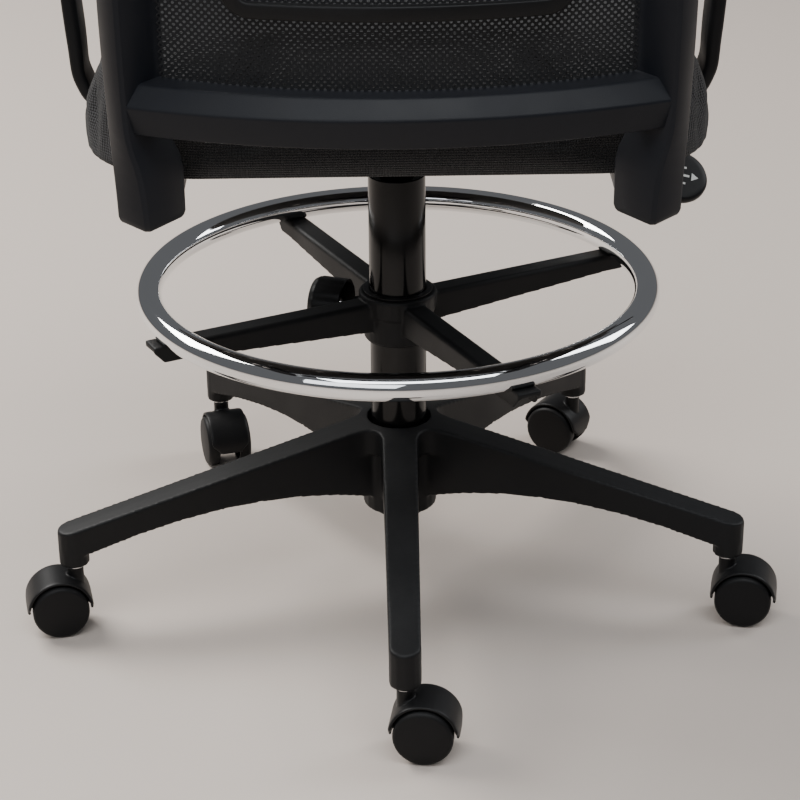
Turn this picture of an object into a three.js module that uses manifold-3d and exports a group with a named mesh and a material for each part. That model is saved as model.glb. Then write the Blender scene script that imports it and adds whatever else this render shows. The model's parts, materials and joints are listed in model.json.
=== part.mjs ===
import * as THREE from 'three';
import { mergeVertices } from 'three/addons/utils/BufferGeometryUtils.js';
import Module from 'manifold-3d';

// A height-adjustable drafting chair with a mesh back, fixed arms, a sliding foot ring and
// a five-star caster base. Millimetres, +Z up. The sitter faces +Y and the sitter's right
// hand is at +X. The origin is on the floor, on the column's axis.

const wasm = await Module();
wasm.setup();

// ---------- driving dimensions ----------
const gap = 0.3;                // left between pieces that touch
const runningGap = 0.4;         // left between pieces that slide or turn

// casters
const wheelRadius = 25;
const wheelReach = 23;          // caster's middle to a wheel's outer face
const wheelRimInset = 10.3;     // caster's middle to a rim's inner edge
const wheelRimWall = 3.5;
const hoodClearance = 1.6;
const hoodWall = 2.7;
const hoodReach = 19;           // caster's middle to a hood's open edge
const casterTrail = 16;
const stemRadius = 5.5;
const axleRadius = 3;
const neckRise = 6.4;           // hood's top to its neck's top
const collarHeight = 3.3;
const casterHeadings = [-168, -8, -11, 148, 285];   // degrees, one for each arm

// star base
const armAngles = [198, 270, 342, 54, 126];         // degrees
const stemCircle = 304;
const armWidthAtHub = 32;
const armWidthAtTip = 26;
const armWall = 3.6;
const crotchRadius = 15;
const tipHeight = 33;
const armRise = 62;             // arm's tip to the hub's top
const hubRadius = 33.5;
const hubHeight = 86;
const hubPlate = 23;            // thickness of the webs between the arms
const socketMouth = 3.5;        // clear ring round the tube at the hub's top

// column
const columnRadius = 25;
const columnWall = 2;
const columnTaper = 1.8;
const columnLength = 324;
const columnBelowHub = 7;
const bushLength = 90;
const cylinderRadius = 14;
const cylinderWall = 3;
const rodRadius = 5;
const rodHeadLength = 8;
const liftStroke = 200;
const pinRadius = 2.3;

// foot ring
const ringRadius = 218.5;       // to the middle of the tube
const ringTube = 11.5;
const ringAboveHub = 128;       // star hub's top to the middle of the ring tube
const ringHubWall = 4.2;
const ringHubHeight = 44;
const linerWall = 3.3;
const spokeAngles = [26.2, 116.2, 206.2, 296.2];    // degrees
const spokeWidth = 22;
const spokeWall = 3;
const spokeDepthAtHub = 27;
const spokeDepthAtRing = 15;
const clampAngle = 161.2;       // degrees
const screwRadius = 4;
const knobRadius = 24.5;
const knobLength = 31;

// seat mechanism
const mechanismAbove = 22;      // column's top to the socket's lower end
const mechanismHeight = 46.7;
const plateHalf = [100, 78];
const plateThickness = 3;
const channelHalf = [62, 55];
const boltSpread = [84, 66];
const boltRadius = 3;
const pivotX = 25;
const leverReach = 221;
const leverDrop = 56;

// seat
const seatHalfWidth = 262;
const seatDepth = 470;
const seatRear = -225;          // back of the cushion, from the column's axis
const seatCorner = 112;
const panThickness = 12;
const panInset = 22;
const cushionHeight = 82;
const skirtRise = 1.5;          // from the pan's underside to the cushion's lower edge

// back
const backOuter = 218.5;        // half of the width over the uprights
const ridgeWidth = 4;
const uprightRidge = 204;
const uprightInner = 173;
const heelInner = 162;
const uprightDepth = 24;        // outer edge back to the ridge
const uprightFront = 11;        // outer edge forward to the inner face's edge
const backGap = 27;             // cushion's back to the uprights' outer edge
const footThickness = 15.4;
const backHeight = 586;         // seat pan's underside to the top of the back
const barAbovePan = 82;         // seat pan's underside to the crossbar's ridge
const barRise = 14;            // above the crossbar's rear ridge
const barFall = 23;            // below it
const barBow = 41;
const meshThickness = 2.4;

// lumbar support
const lumbarAbovePan = 196;
const lumbarHalf = [128, 46];
const lumbarBand = 12;
const lumbarThickness = 8;

// arms
const armPostWidth = 46;
const armPostThickness = 13;
const armClear = 2;             // seat's side to the arm post
const armY = 30;
const padHeight = 200;          // cushion's top to the pad's top
const padHalf = [38, 125];
const padThickness = 28;
const padShift = 45;

// ---------- heights and places that follow from them ----------
const hoodOuter = wheelRadius + hoodClearance + hoodWall;
const neckTop = wheelRadius + hoodOuter + neckRise;
const tipBottom = neckTop + collarHeight;
const tipTop = tipBottom + tipHeight;
const hubTop = tipTop + armRise;
const hubBottom = hubTop - hubHeight;
const hubFlat = hubRadius - 3.5;
const tipRadius = Math.max(armWidthAtTip / 2 + 0.5, stemRadius + 5);
const tipEnd = stemCircle + tipRadius;

const columnBottom = hubBottom - columnBelowHub;
const columnTop = columnBottom + columnLength;
const taperTop = hubTop - hubPlate - 1;
const columnBore = columnRadius - columnWall;
const bearingTop = columnBottom + columnWall + 1.8 + 6;
const bumperTop = bearingTop + gap + 14;
const cylinderBottom = bumperTop + gap + 1.5;
const socketBottom = columnTop + mechanismAbove;
const cylinderTop = socketBottom + 22;
const cylinderBore = cylinderRadius - cylinderWall;
const rodTop = cylinderBottom + liftStroke + 38;
const pinTop = cylinderTop + 4;

const ringZ = hubTop + ringAboveHub;
const spokeTop = ringZ - ringTube + 1.5;
const ringHubTop = spokeTop + 5;
const ringHubBottom = ringHubTop - ringHubHeight;
const linerInner = columnRadius + runningGap;
const linerOuter = linerInner + linerWall;
const ringHubInner = linerOuter + gap;
const ringHubOuter = ringHubInner + ringHubWall;
const clampZ = (ringHubTop + ringHubBottom) / 2;

const plateTop = socketBottom + mechanismHeight;
const pivotZ = pinTop + 7;
const panBottom = plateTop + gap;
const cushionBottom = panBottom + panThickness + gap;
const seatTop = cushionBottom + cushionHeight;
const seatFront = seatRear + seatDepth;

const backY = seatRear - backGap;
const backTop = panBottom + backHeight;
const heelBottom = panBottom - gap - footThickness;
const barZ = panBottom + barAbovePan;
const meshBottom = barZ + barRise + gap;
const padTop = seatTop + padHeight;

// ---------- small helpers ----------
const rad = (degrees) => degrees * Math.PI / 180;
const mix = (a, b, t) => a + (b - a) * t;

// Position-only copy of a geometry with shared corners and no collapsed triangles.
function welded(geometry) {
  const bare = new THREE.BufferGeometry();
  bare.setAttribute('position', geometry.attributes.position.clone());
  if (geometry.index) bare.setIndex(geometry.index.clone());
  const merged = mergeVertices(bare, 1e-3);
  const index = merged.index.array;
  const kept = [];
  for (let i = 0; i < index.length; i += 3) {
    const [a, b, c] = [index[i], index[i + 1], index[i + 2]];
    if (a !== b && b !== c && c !== a) kept.push(a, b, c);
  }
  merged.setIndex(kept);
  return merged;
}

function toSolid(geometry) {
  const mesh = welded(geometry);
  const vertProperties = new Float32Array(mesh.attributes.position.array);
  const triVerts = new Uint32Array(mesh.index.array);
  return new wasm.Manifold(new wasm.Mesh({ numProp: 3, vertProperties, triVerts }));
}

function toGeometry(solid) {
  const mesh = solid.getMesh();
  const geometry = new THREE.BufferGeometry();
  geometry.setAttribute('position', new THREE.BufferAttribute(mesh.vertProperties, 3));
  geometry.setIndex(new THREE.BufferAttribute(mesh.triVerts, 1));
  return geometry;
}

const join = (...pieces) => toGeometry(pieces.map(toSolid).reduce((a, b) => a.add(b)));
const cut = (...pieces) => toGeometry(pieces.map(toSolid).reduce((a, b) => a.subtract(b)));
const common = (...pieces) => toGeometry(pieces.map(toSolid).reduce((a, b) => a.intersect(b)));

// Box between two values on each axis.
function slab([x0, x1], [y0, y1], [z0, z1]) {
  const box = new THREE.BoxGeometry(x1 - x0, y1 - y0, z1 - z0);
  return box.translate((x0 + x1) / 2, (y0 + y1) / 2, (z0 + z1) / 2);
}

// Upright round bar between two heights.
function rod(radius, z0, z1, segments = 20) {
  const bar = new THREE.CylinderGeometry(radius, radius, z1 - z0, segments);
  return bar.rotateX(Math.PI / 2).translate(0, 0, (z0 + z1) / 2);
}

function profileArea(points) {
  let sum = 0;
  points.forEach(([x, y], i) => {
    const [nextX, nextY] = points[(i + 1) % points.length];
    sum += x * nextY - nextX * y;
  });
  return sum / 2;
}

// Solid of revolution about Z from [radius, height] points. A profile that starts off the
// axis is closed on itself.
function revolve(profile, segments = 24) {
  const points = profileArea(profile) > 0 ? [...profile] : [...profile].reverse();
  const onAxis = points.some(([r]) => r === 0);
  if (onAxis) {
    while (points[0][0] !== 0 || points[points.length - 1][0] !== 0) points.push(points.shift());
  } else {
    points.push(points[0]);
  }
  const outline = points.map(([r, z]) => new THREE.Vector2(r, z));
  return new THREE.LatheGeometry(outline, segments).rotateX(Math.PI / 2);
}

// Flat outline raised between two heights.
function prism(points, z0, z1) {
  const shape = new THREE.Shape(points.map(([x, y]) => new THREE.Vector2(x, y)));
  const body = new THREE.ExtrudeGeometry(shape, { depth: z1 - z0, bevelEnabled: false });
  return body.translate(0, 0, z0);
}

// Closed skin through rings that have the same number of points.
function loft(rings) {
  const count = rings[0].length;
  const corners = rings.flat();
  const faces = [];
  for (let i = 0; i + 1 < rings.length; i += 1) {
    for (let j = 0; j < count; j += 1) {
      const a = i * count + j;
      const b = i * count + (j + 1) % count;
      faces.push([a, b, b + count], [a, b + count, a + count]);
    }
  }
  [[0, true], [rings.length - 1, false]].forEach(([ringIndex, isFirst]) => {
    const ring = rings[ringIndex];
    const normal = new THREE.Vector3();
    ring.forEach((point, j) => {
      normal.add(new THREE.Vector3().crossVectors(point, ring[(j + 1) % count]));
    });
    const sizes = [Math.abs(normal.x), Math.abs(normal.y), Math.abs(normal.z)];
    const drop = sizes.indexOf(Math.max(...sizes));
    const [u, v] = [['y', 'z'], ['z', 'x'], ['x', 'y']][drop];
    const flat = ring.map((point) => new THREE.Vector2(point[u], point[v]));
    const isTurned = THREE.ShapeUtils.area(flat) < 0;
    const order = flat.map((_, j) => (isTurned ? count - 1 - j : j));
    const caps = THREE.ShapeUtils.triangulateShape(order.map((j) => flat[j]), []);
    caps.forEach((cap) => {
      const [a, b, c] = cap.map((j) => ringIndex * count + order[j]);
      faces.push(isTurned === isFirst ? [a, b, c] : [a, c, b]);
    });
  });
  const volume = faces.reduce((sum, [a, b, c]) => {
    const edge = new THREE.Vector3().crossVectors(corners[b], corners[c]);
    return sum + corners[a].dot(edge);
  }, 0);
  const geometry = new THREE.BufferGeometry().setFromPoints(corners);
  geometry.setIndex(faces.flatMap(([a, b, c]) => (volume > 0 ? [a, b, c] : [a, c, b])));
  return geometry;
}

// Quarter-round corners on a rectangle of half sizes, as [x, y] points.
function roundedRectangle(halfX, halfY, radius, steps) {
  const points = [];
  [[1, 1, 0], [-1, 1, 90], [-1, -1, 180], [1, -1, 270]].forEach(([sx, sy, start]) => {
    for (let i = 0; i <= steps; i += 1) {
      const angle = rad(start + 90 * i / steps);
      const x = sx * (halfX - radius) + radius * Math.cos(angle);
      const y = sy * (halfY - radius) + radius * Math.sin(angle);
      points.push([x, y]);
    }
  });
  return points;
}

// ---------- materials ----------
const finish = (color, roughness, metalness) => (
  new THREE.MeshStandardMaterial({ color, roughness, metalness })
);
const materials = {
  nylon: finish(0x17181b, 0.55, 0),
  frameNylon: finish(0x1d1f23, 0.5, 0),
  wheelPlastic: finish(0x151517, 0.45, 0),
  columnPaint: finish(0x0b0b0c, 0.25, 0.3),
  chrome: finish(0xd8dade, 0.08, 1),
  steel: finish(0x8c8f94, 0.35, 1),
  darkSteel: finish(0x1a1b1d, 0.45, 0.6),
  blackPlastic: finish(0x101012, 0.35, 0),
  rubber: finish(0x111111, 0.85, 0),
  seatFabric: finish(0x131315, 0.9, 0),
  meshFabric: finish(0x0f0f11, 0.85, 0),
  padPlastic: finish(0x141416, 0.6, 0),
};

const chair = new THREE.Group();
const ringGroup = new THREE.Group();
const seatGroup = new THREE.Group();
chair.add(ringGroup, seatGroup);

function place(name, geometry, material, parent = chair) {
  const mesh = new THREE.Mesh(welded(geometry), material);
  mesh.name = name;
  parent.add(mesh);
  return mesh;
}

// ---------- star base ----------
// Height of an arm's top face at a distance from the column's axis.
function armTop(r) {
  return mix(hubTop, tipTop, Math.max(0, (r - hubFlat) / (tipEnd - hubFlat)));
}

// Outline of one arm along its axis, narrowed by a wall, between two distances.
function armStrip(angle, from, to, inset, hasRoundEnd) {
  const half = (r) => mix(armWidthAtHub, armWidthAtTip, r / stemCircle) / 2 - inset;
  const points = [[from, -half(from)], [to, -half(to)]];
  if (hasRoundEnd) {
    for (let i = 0; i <= 6; i += 1) {
      const turn = rad(-90 + 180 * i / 6);
      points.push([to + tipRadius * Math.cos(turn), tipRadius * Math.sin(turn)]);
    }
  }
  points.push([to, half(to)], [from, half(from)]);
  const [c, s] = [Math.cos(rad(angle)), Math.sin(rad(angle))];
  return points.map(([x, y]) => [x * c - y * s, x * s + y * c]);
}

// Outline of the hub's web: short arm stubs with a rounded crotch between each two.
function webOutline() {
  const half = armWidthAtHub / 2;
  const middle = (half + crotchRadius) / Math.sin(rad(36));
  const stub = middle * Math.cos(rad(36)) + 6;
  const stubHalf = mix(armWidthAtHub, armWidthAtTip, stub / stemCircle) / 2;
  const points = [];
  armAngles.map((angle) => angle).sort((a, b) => a - b).forEach((angle) => {
    const along = new THREE.Vector2(Math.cos(rad(angle)), Math.sin(rad(angle)));
    const side = new THREE.Vector2(-along.y, along.x);
    [-stubHalf, stubHalf].forEach((offset) => {
      points.push([along.x * stub + side.x * offset, along.y * stub + side.y * offset]);
    });
    const centre = new THREE.Vector2(Math.cos(rad(angle + 36)), Math.sin(rad(angle + 36)));
    centre.multiplyScalar(middle);
    for (let i = 0; i <= 6; i += 1) {
      const turn = rad(angle + 270 - 108 * i / 6);
      const x = centre.x + crotchRadius * Math.cos(turn);
      const y = centre.y + crotchRadius * Math.sin(turn);
      points.push([x, y]);
    }
  });
  return points;
}

function starBase() {
  const rootZ = hubBottom + 15;
  const arch = new THREE.QuadraticBezierCurve(
    new THREE.Vector2(hubRadius, rootZ),
    new THREE.Vector2(stemCircle * 0.49, mix(tipBottom, hubTop, 0.57)),
    new THREE.Vector2(stemCircle - tipRadius + 1, tipBottom + 12),
  );
  const far = tipEnd + 12;
  const under = arch.getPoints(7).map((point) => [point.x, point.y]);
  const armBody = [[0, rootZ], ...under, [far, tipBottom + 10], [far, armTop(far)],
    [hubFlat, hubTop], [0, hubTop]];
  const webReach = (armWidthAtHub / 2 + crotchRadius) / Math.tan(rad(36)) + 10;
  const webBody = [[0, hubTop - hubPlate], [webReach, armTop(webReach) - hubPlate],
    [webReach, armTop(webReach)], [hubFlat, hubTop], [0, hubTop]];
  const arms = armAngles.map((angle) => toSolid(
    prism(armStrip(angle, 0, stemCircle, 0, true), tipBottom - 5, hubTop + 5),
  ));
  const bosses = armAngles.map((angle) => toSolid(
    rod(tipRadius, tipBottom, tipBottom + 16, 12)
      .translate(stemCircle * Math.cos(rad(angle)), stemCircle * Math.sin(rad(angle)), 0),
  ));
  let body = arms.reduce((a, b) => a.add(b)).intersect(toSolid(revolve(armBody, 30)));
  const web = toSolid(prism(webOutline(), hubBottom, hubTop + 5));
  body = body.add(web.intersect(toSolid(revolve(webBody, 30))));
  body = body.add(toSolid(rod(hubRadius, hubBottom, hubTop - 6, 24)));
  body = bosses.reduce((a, b) => a.add(b), body);
  const ceiling = [[0, tipBottom - 20], [far, tipBottom - 20], [far, armTop(far) - 5],
    [hubFlat, hubTop - 5], [0, hubTop - 5]];
  const roof = toSolid(revolve(ceiling, 20));
  const lastRib = stemCircle - tipRadius - 4;
  const firstRib = hubRadius + 5;
  const bays = 4;
  armAngles.forEach((angle) => {
    for (let bay = 0; bay < bays; bay += 1) {
      const from = mix(firstRib, lastRib, bay / bays) + 1.5;
      const to = mix(firstRib, lastRib, (bay + 1) / bays) - 1.5;
      const strip = prism(armStrip(angle, from, to, armWall, false), tipBottom - 15, hubTop);
      body = body.subtract(toSolid(strip).intersect(roof));
    }
    const bore = rod(stemRadius + gap, tipBottom - 5, tipTop - 5, 12);
    bore.translate(stemCircle * Math.cos(rad(angle)), stemCircle * Math.sin(rad(angle)), 0);
    body = body.subtract(toSolid(bore));
  });
  const foot = columnRadius - columnTaper + gap;
  const socket = [[0, hubBottom - 20], [foot, hubBottom - 20], [foot, columnBottom],
    [columnRadius + gap, taperTop], [columnRadius + socketMouth, taperTop + 3],
    [columnRadius + socketMouth, hubTop + 10], [0, hubTop + 10]];
  return toGeometry(body.subtract(toSolid(revolve(socket, 28))));
}

place('star_base', starBase(), materials.nylon);

// ---------- column ----------
place('column_tube', revolve([
  [rodRadius + runningGap, columnBottom],
  [columnRadius - columnTaper, columnBottom],
  [columnRadius, taperTop],
  [columnRadius, columnTop - 0.8],
  [columnRadius - 0.8, columnTop],
  [columnBore, columnTop],
  [columnBore, taperTop],
  [columnBore - columnTaper, columnBottom + columnWall + 1.5],
  [rodRadius + runningGap, columnBottom + columnWall + 1.5],
], 28), materials.columnPaint);

const bushBottom = columnTop - 2 - bushLength;
place('column_bush', revolve([
  [cylinderRadius + runningGap, bushBottom],
  [columnBore - gap, bushBottom],
  [columnBore - gap, columnTop - 2],
  [cylinderRadius + runningGap + 1, columnTop - 2],
  [cylinderRadius + runningGap, columnTop - 3],
], 24), materials.blackPlastic);

const bearingOuter = Math.min(14, columnBore - columnTaper - 1);
place('thrust_bearing', revolve([
  [rodRadius + runningGap, bearingTop - 6],
  [bearingOuter, bearingTop - 6],
  [bearingOuter, bearingTop],
  [rodRadius + runningGap, bearingTop],
], 20), materials.steel);

place('bumper', revolve([
  [rodRadius + runningGap, bearingTop + gap],
  [bearingOuter - 1, bearingTop + gap],
  [bearingOuter, bumperTop - 3],
  [bearingOuter - 2, bumperTop],
  [rodRadius + runningGap, bumperTop],
], 16), materials.rubber);

place('retaining_clip', revolve([
  [rodRadius + gap, columnBottom - 3],
  [rodRadius + 4, columnBottom - 3],
  [rodRadius + 4, columnBottom - gap],
  [rodRadius + gap, columnBottom - gap],
], 16), materials.darkSteel);

place('piston_rod', revolve([
  [0, columnBottom - 5],
  [rodRadius - 0.6, columnBottom - 5],
  [rodRadius, columnBottom - 4.4],
  [rodRadius, rodTop - rodHeadLength],
  [cylinderBore - runningGap, rodTop - rodHeadLength],
  [cylinderBore - runningGap, rodTop],
  [0, rodTop],
], 20), materials.steel);

// ---------- foot ring ----------
place('foot_ring_bush', revolve([
  [linerInner, ringHubBottom - 1],
  [linerOuter, ringHubBottom - 1],
  [linerOuter, ringHubTop + gap],
  [linerOuter + 2, ringHubTop + gap],
  [linerOuter + 2, ringHubTop + 2],
  [linerInner, ringHubTop + 2],
], 24), materials.blackPlastic, ringGroup);

// One hollow spoke, open below, along +X from the hub to just past the ring.
function spoke() {
  const start = ringHubInner + 1.5;
  const end = ringRadius + ringTube + 4.5;
  const outline = [[start, spokeTop], [start, spokeTop - spokeDepthAtHub],
    [ringRadius - 12, spokeTop - spokeDepthAtRing], [end - 9, spokeTop - spokeDepthAtRing],
    [end, spokeTop - 5], [end, spokeTop]];
  const side = (points, half) => prism(points, -half, half).rotateX(Math.PI / 2);
  const body = side(outline, spokeWidth / 2);
  const bevel = [[start - 1, spokeTop + 0.1], [end - 14, spokeTop + 0.1]];
  const channel = side([[ringHubOuter + 4, spokeTop - 4], [ringHubOuter + 4, spokeTop - 60],
    [end + 5, spokeTop - 60], [end + 5, spokeTop - 6], [end - 4, spokeTop - 4]],
  spokeWidth / 2 - spokeWall);
  const chamfers = [-1, 1].map((way) => {
    const edge = way * spokeWidth / 2;
    return loft(bevel.map(([x, z]) => [
      new THREE.Vector3(x, edge - way * 2.5, z),
      new THREE.Vector3(x, edge + way * 1, z),
      new THREE.Vector3(x, edge + way * 1, z - 3.5),
    ]));
  });
  return cut(body, channel, ...chamfers);
}

function footRingHub() {
  const shell = revolve([
    [0, ringHubBottom],
    [ringHubOuter - 3, ringHubBottom],
    [ringHubOuter - 2, ringHubTop - 20],
    [ringHubOuter, ringHubTop - 18],
    [ringHubOuter + 1.5, ringHubTop - 2],
    [ringHubOuter + 0.5, ringHubTop],
    [0, ringHubTop],
  ], 32);
  const clampBoss = rod(screwRadius + 6, 0, ringHubOuter + 8, 16).rotateY(Math.PI / 2);
  clampBoss.rotateZ(rad(clampAngle)).translate(0, 0, clampZ);
  let body = toSolid(shell).add(toSolid(clampBoss));
  spokeAngles.forEach((angle) => {
    body = body.add(toSolid(spoke().rotateZ(rad(angle))));
  });
  const bore = rod(ringHubInner, ringHubBottom - 20, ringHubTop + 20, 32);
  const threadBore = rod(screwRadius + gap, 0, ringHubOuter + 20, 14).rotateY(Math.PI / 2);
  threadBore.rotateZ(rad(clampAngle)).translate(0, 0, clampZ);
  const seatGroove = new THREE.TorusGeometry(ringRadius, ringTube + gap, 8, 52);
  seatGroove.translate(0, 0, ringZ);
  body = body.subtract(toSolid(bore)).subtract(toSolid(threadBore));
  return toGeometry(body.subtract(toSolid(seatGroove)));
}

place('foot_ring_hub', footRingHub(), materials.nylon, ringGroup);

const ring = new THREE.TorusGeometry(ringRadius, ringTube, 8, 52).translate(0, 0, ringZ);
place('foot_ring', ring, materials.chrome, ringGroup);

// The clamp's pieces lie along a line out from the column.
const clampGroup = new THREE.Group();
clampGroup.position.set(0, 0, clampZ);
clampGroup.rotation.z = rad(clampAngle);
ringGroup.add(clampGroup);
const padStart = ringHubInner + gap / 2;
const padEnd = padStart + 3;
const knobStart = ringHubOuter + 8 + 7;
const screwEnd = knobStart + knobLength - 8;

place('clamp_pad', rod(screwRadius - 0.2, padStart, padEnd, 12).rotateY(Math.PI / 2),
  materials.blackPlastic, clampGroup);
place('clamp_screw', rod(screwRadius, padEnd + gap, screwEnd, 14).rotateY(Math.PI / 2),
  materials.steel, clampGroup);
place('clamp_knob', revolve([
  [screwRadius + gap, knobStart + 6],
  [screwRadius + 3, knobStart + 6],
  [screwRadius + 3, knobStart + knobLength - 10],
  [knobRadius - 3, knobStart + knobLength - 10],
  [knobRadius - 2.4, knobStart],
  [knobRadius, knobStart],
  [knobRadius, knobStart + knobLength - 6],
  [knobRadius - 3, knobStart + knobLength - 1],
  [0, knobStart + knobLength],
  [0, screwEnd + gap],
  [screwRadius + gap, screwEnd + gap],
], 18).rotateY(Math.PI / 2), materials.blackPlastic, clampGroup);

// ---------- casters ----------
// A caster is drawn with its stem on the group's axis and its wheels trailing to +X.
const alongY = (geometry) => geometry.rotateX(-Math.PI / 2);
const atAxle = (geometry) => geometry.translate(casterTrail, 0, wheelRadius);

function casterHood() {
  const ringWall = alongY(revolve([
    [hoodOuter - hoodWall, -hoodReach],
    [hoodOuter - 1, -hoodReach],
    [hoodOuter, -hoodReach + 3],
    [hoodOuter, hoodReach - 3],
    [hoodOuter - 1, hoodReach],
    [hoodOuter - hoodWall, hoodReach],
  ], 20));
  const web = alongY(rod(hoodOuter - 1, -2.5, 2.5, 20));
  const belowAxle = slab([-60, 60], [-40, 40], [-60, -3]);
  const hub = alongY(rod(axleRadius + 3.2, -wheelRimInset + 5.5, wheelRimInset - 5.5, 14));
  const bore = alongY(rod(axleRadius + gap, -40, 40, 12));
  const cowl = toSolid(ringWall).add(toSolid(web)).subtract(toSolid(belowAxle));
  const neckRadius = Math.min(stemRadius + 1.9, wheelRimInset - 0.8);
  const neck = rod(neckRadius, wheelRadius + 6, neckTop, 14);
  const stemBore = rod(stemRadius + gap, wheelRadius + 9, neckTop + 5, 14);
  const centred = cowl.add(toSolid(hub)).subtract(toSolid(bore));
  const body = toSolid(atAxle(toGeometry(centred))).add(toSolid(neck));
  return toGeometry(body.subtract(toSolid(stemBore)));
}

// Cup-shaped wheel with its outer face towards +Y, or -Y if way is -1.
function casterWheel(way) {
  const boreEnd = wheelReach - 4.8;
  const cup = alongY(revolve([
    [0, boreEnd],
    [axleRadius + runningGap, boreEnd],
    [axleRadius + runningGap, wheelRimInset - 4],
    [axleRadius + 4, wheelRimInset - 4],
    [axleRadius + 4, wheelReach - 6],
    [wheelRadius - wheelRimWall, wheelReach - 6],
    [wheelRadius - wheelRimWall, wheelRimInset],
    [wheelRadius, wheelRimInset],
    [wheelRadius, wheelReach - 4],
    [wheelRadius - 2, wheelReach - 1.6],
    [0, wheelReach],
  ], 16));
  return atAxle(way < 0 ? cup.rotateZ(Math.PI) : cup);
}

const stemTop = tipTop - 6;
armAngles.forEach((angle, i) => {
  const caster = new THREE.Group();
  const x = stemCircle * Math.cos(rad(angle));
  const y = stemCircle * Math.sin(rad(angle));
  caster.position.set(x, y, 0);
  caster.rotation.z = rad(casterHeadings[i]);
  chair.add(caster);
  const number = i + 1;
  place(`caster_stem_${number}`, revolve([
    [0, wheelRadius + 10],
    [stemRadius, wheelRadius + 10],
    [stemRadius, neckTop + gap],
    [stemRadius + 3, neckTop + gap],
    [stemRadius + 3, tipBottom - gap],
    [stemRadius, tipBottom - gap],
    [stemRadius, stemTop - 1],
    [stemRadius - 1, stemTop],
    [0, stemTop],
  ], 12), materials.steel, caster);
  place(`caster_hood_${number}`, casterHood(), materials.wheelPlastic, caster);
  const axleReach = wheelReach - 5.4;
  place(`caster_axle_${number}`,
    atAxle(alongY(rod(axleRadius, -axleReach, axleReach, 12))), materials.steel, caster);
  place(`wheel_left_${number}`, casterWheel(-1), materials.wheelPlastic, caster);
  place(`wheel_right_${number}`, casterWheel(1), materials.wheelPlastic, caster);
});

// ---------- gas cylinder and release pin ----------
place('gas_cylinder', revolve([
  [rodRadius + runningGap, cylinderBottom],
  [cylinderRadius - 1, cylinderBottom],
  [cylinderRadius, cylinderBottom + 1],
  [cylinderRadius, socketBottom],
  [cylinderRadius - 0.8, cylinderTop - 1],
  [cylinderRadius - 1.8, cylinderTop],
  [pinRadius + gap, cylinderTop],
  [pinRadius + gap, cylinderTop - 30],
  [cylinderBore, cylinderTop - 33],
  [cylinderBore, cylinderBottom + 12],
  [rodRadius + runningGap, cylinderBottom + 12],
], 24), materials.columnPaint, seatGroup);

place('release_pin', rod(pinRadius, cylinderTop - 24, pinTop, 12), materials.steel, seatGroup);

// ---------- seat mechanism ----------
const channelDepth = mechanismHeight - 6;
const gussetY = 17;

function seatPlate() {
  const floor = plateTop - plateThickness;
  const plate = prism(roundedRectangle(...plateHalf, 12, 3), floor, plateTop);
  const [cx, cy] = channelHalf;
  const wall = 2.5;
  const box = cut(
    slab([-cx, cx], [-cy, cy], [plateTop - channelDepth, plateTop - 1]),
    slab([-cx + wall, cx - wall], [-cy + wall, cy - wall], [plateTop - 90, floor]),
  );
  let body = toSolid(plate).add(toSolid(box));
  [-1, 1].forEach((way) => {
    const inner = Math.min(way * gussetY, way * (gussetY + wall));
    const outer = Math.max(way * gussetY, way * (gussetY + wall));
    const gusset = slab([-30, pivotX + 20], [inner, outer], [socketBottom + 4, plateTop - 1]);
    body = body.add(toSolid(gusset));
  });
  body = body.add(toSolid(rod(cylinderRadius + 5, socketBottom, cylinderTop, 20)));
  const taper = revolve([
    [0, socketBottom - 10],
    [cylinderRadius + gap, socketBottom - 10],
    [cylinderRadius + gap, socketBottom],
    [cylinderRadius - 0.8 + gap, cylinderTop - 1],
    [cylinderRadius - 0.8 + gap, cylinderTop + 2],
    [0, cylinderTop + 2],
  ], 24);
  const pivotHole = rod(boltRadius + gap, -60, 60, 12).rotateX(Math.PI / 2);
  pivotHole.translate(pivotX, 0, pivotZ);
  const pivotReach = slab([pivotX - 8, pivotX + 8], [-gussetY - 4, gussetY + 4],
    [pivotZ - 8, pivotZ + 8]);
  const leverSlot = slab([cx - 6, cx + 6], [-8, 8], [pivotZ - 22, floor]);
  body = body.subtract(toSolid(taper)).subtract(toSolid(leverSlot));
  body = body.subtract(toSolid(pivotHole).intersect(toSolid(pivotReach)));
  [-1, 1].forEach((sx) => [-1, 1].forEach((sy) => {
    const hole = rod(boltRadius + 0.4, plateTop - 20, plateTop + 20, 12);
    hole.translate(sx * boltSpread[0], sy * boltSpread[1], 0);
    body = body.subtract(toSolid(hole));
  }));
  return toGeometry(body);
}

place('seat_plate', seatPlate(), materials.darkSteel, seatGroup);

const pivotPin = rod(boltRadius, -gussetY - 4, gussetY + 4, 12).rotateX(Math.PI / 2);
place('lever_pivot', pivotPin.translate(pivotX, 0, pivotZ), materials.steel, seatGroup);

// ---------- height lever ----------
const leverPath = new THREE.CatmullRomCurve3([
  new THREE.Vector3(pivotX + 12, 0, pivotZ),
  new THREE.Vector3(pivotX + 45, 0, pivotZ - 2),
  new THREE.Vector3(mix(pivotX, leverReach, 0.45), 0, pivotZ - leverDrop * 0.42),
  new THREE.Vector3(mix(pivotX, leverReach, 0.8), 0, pivotZ - leverDrop * 0.84),
  new THREE.Vector3(leverReach, 0, pivotZ - leverDrop),
]);

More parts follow.
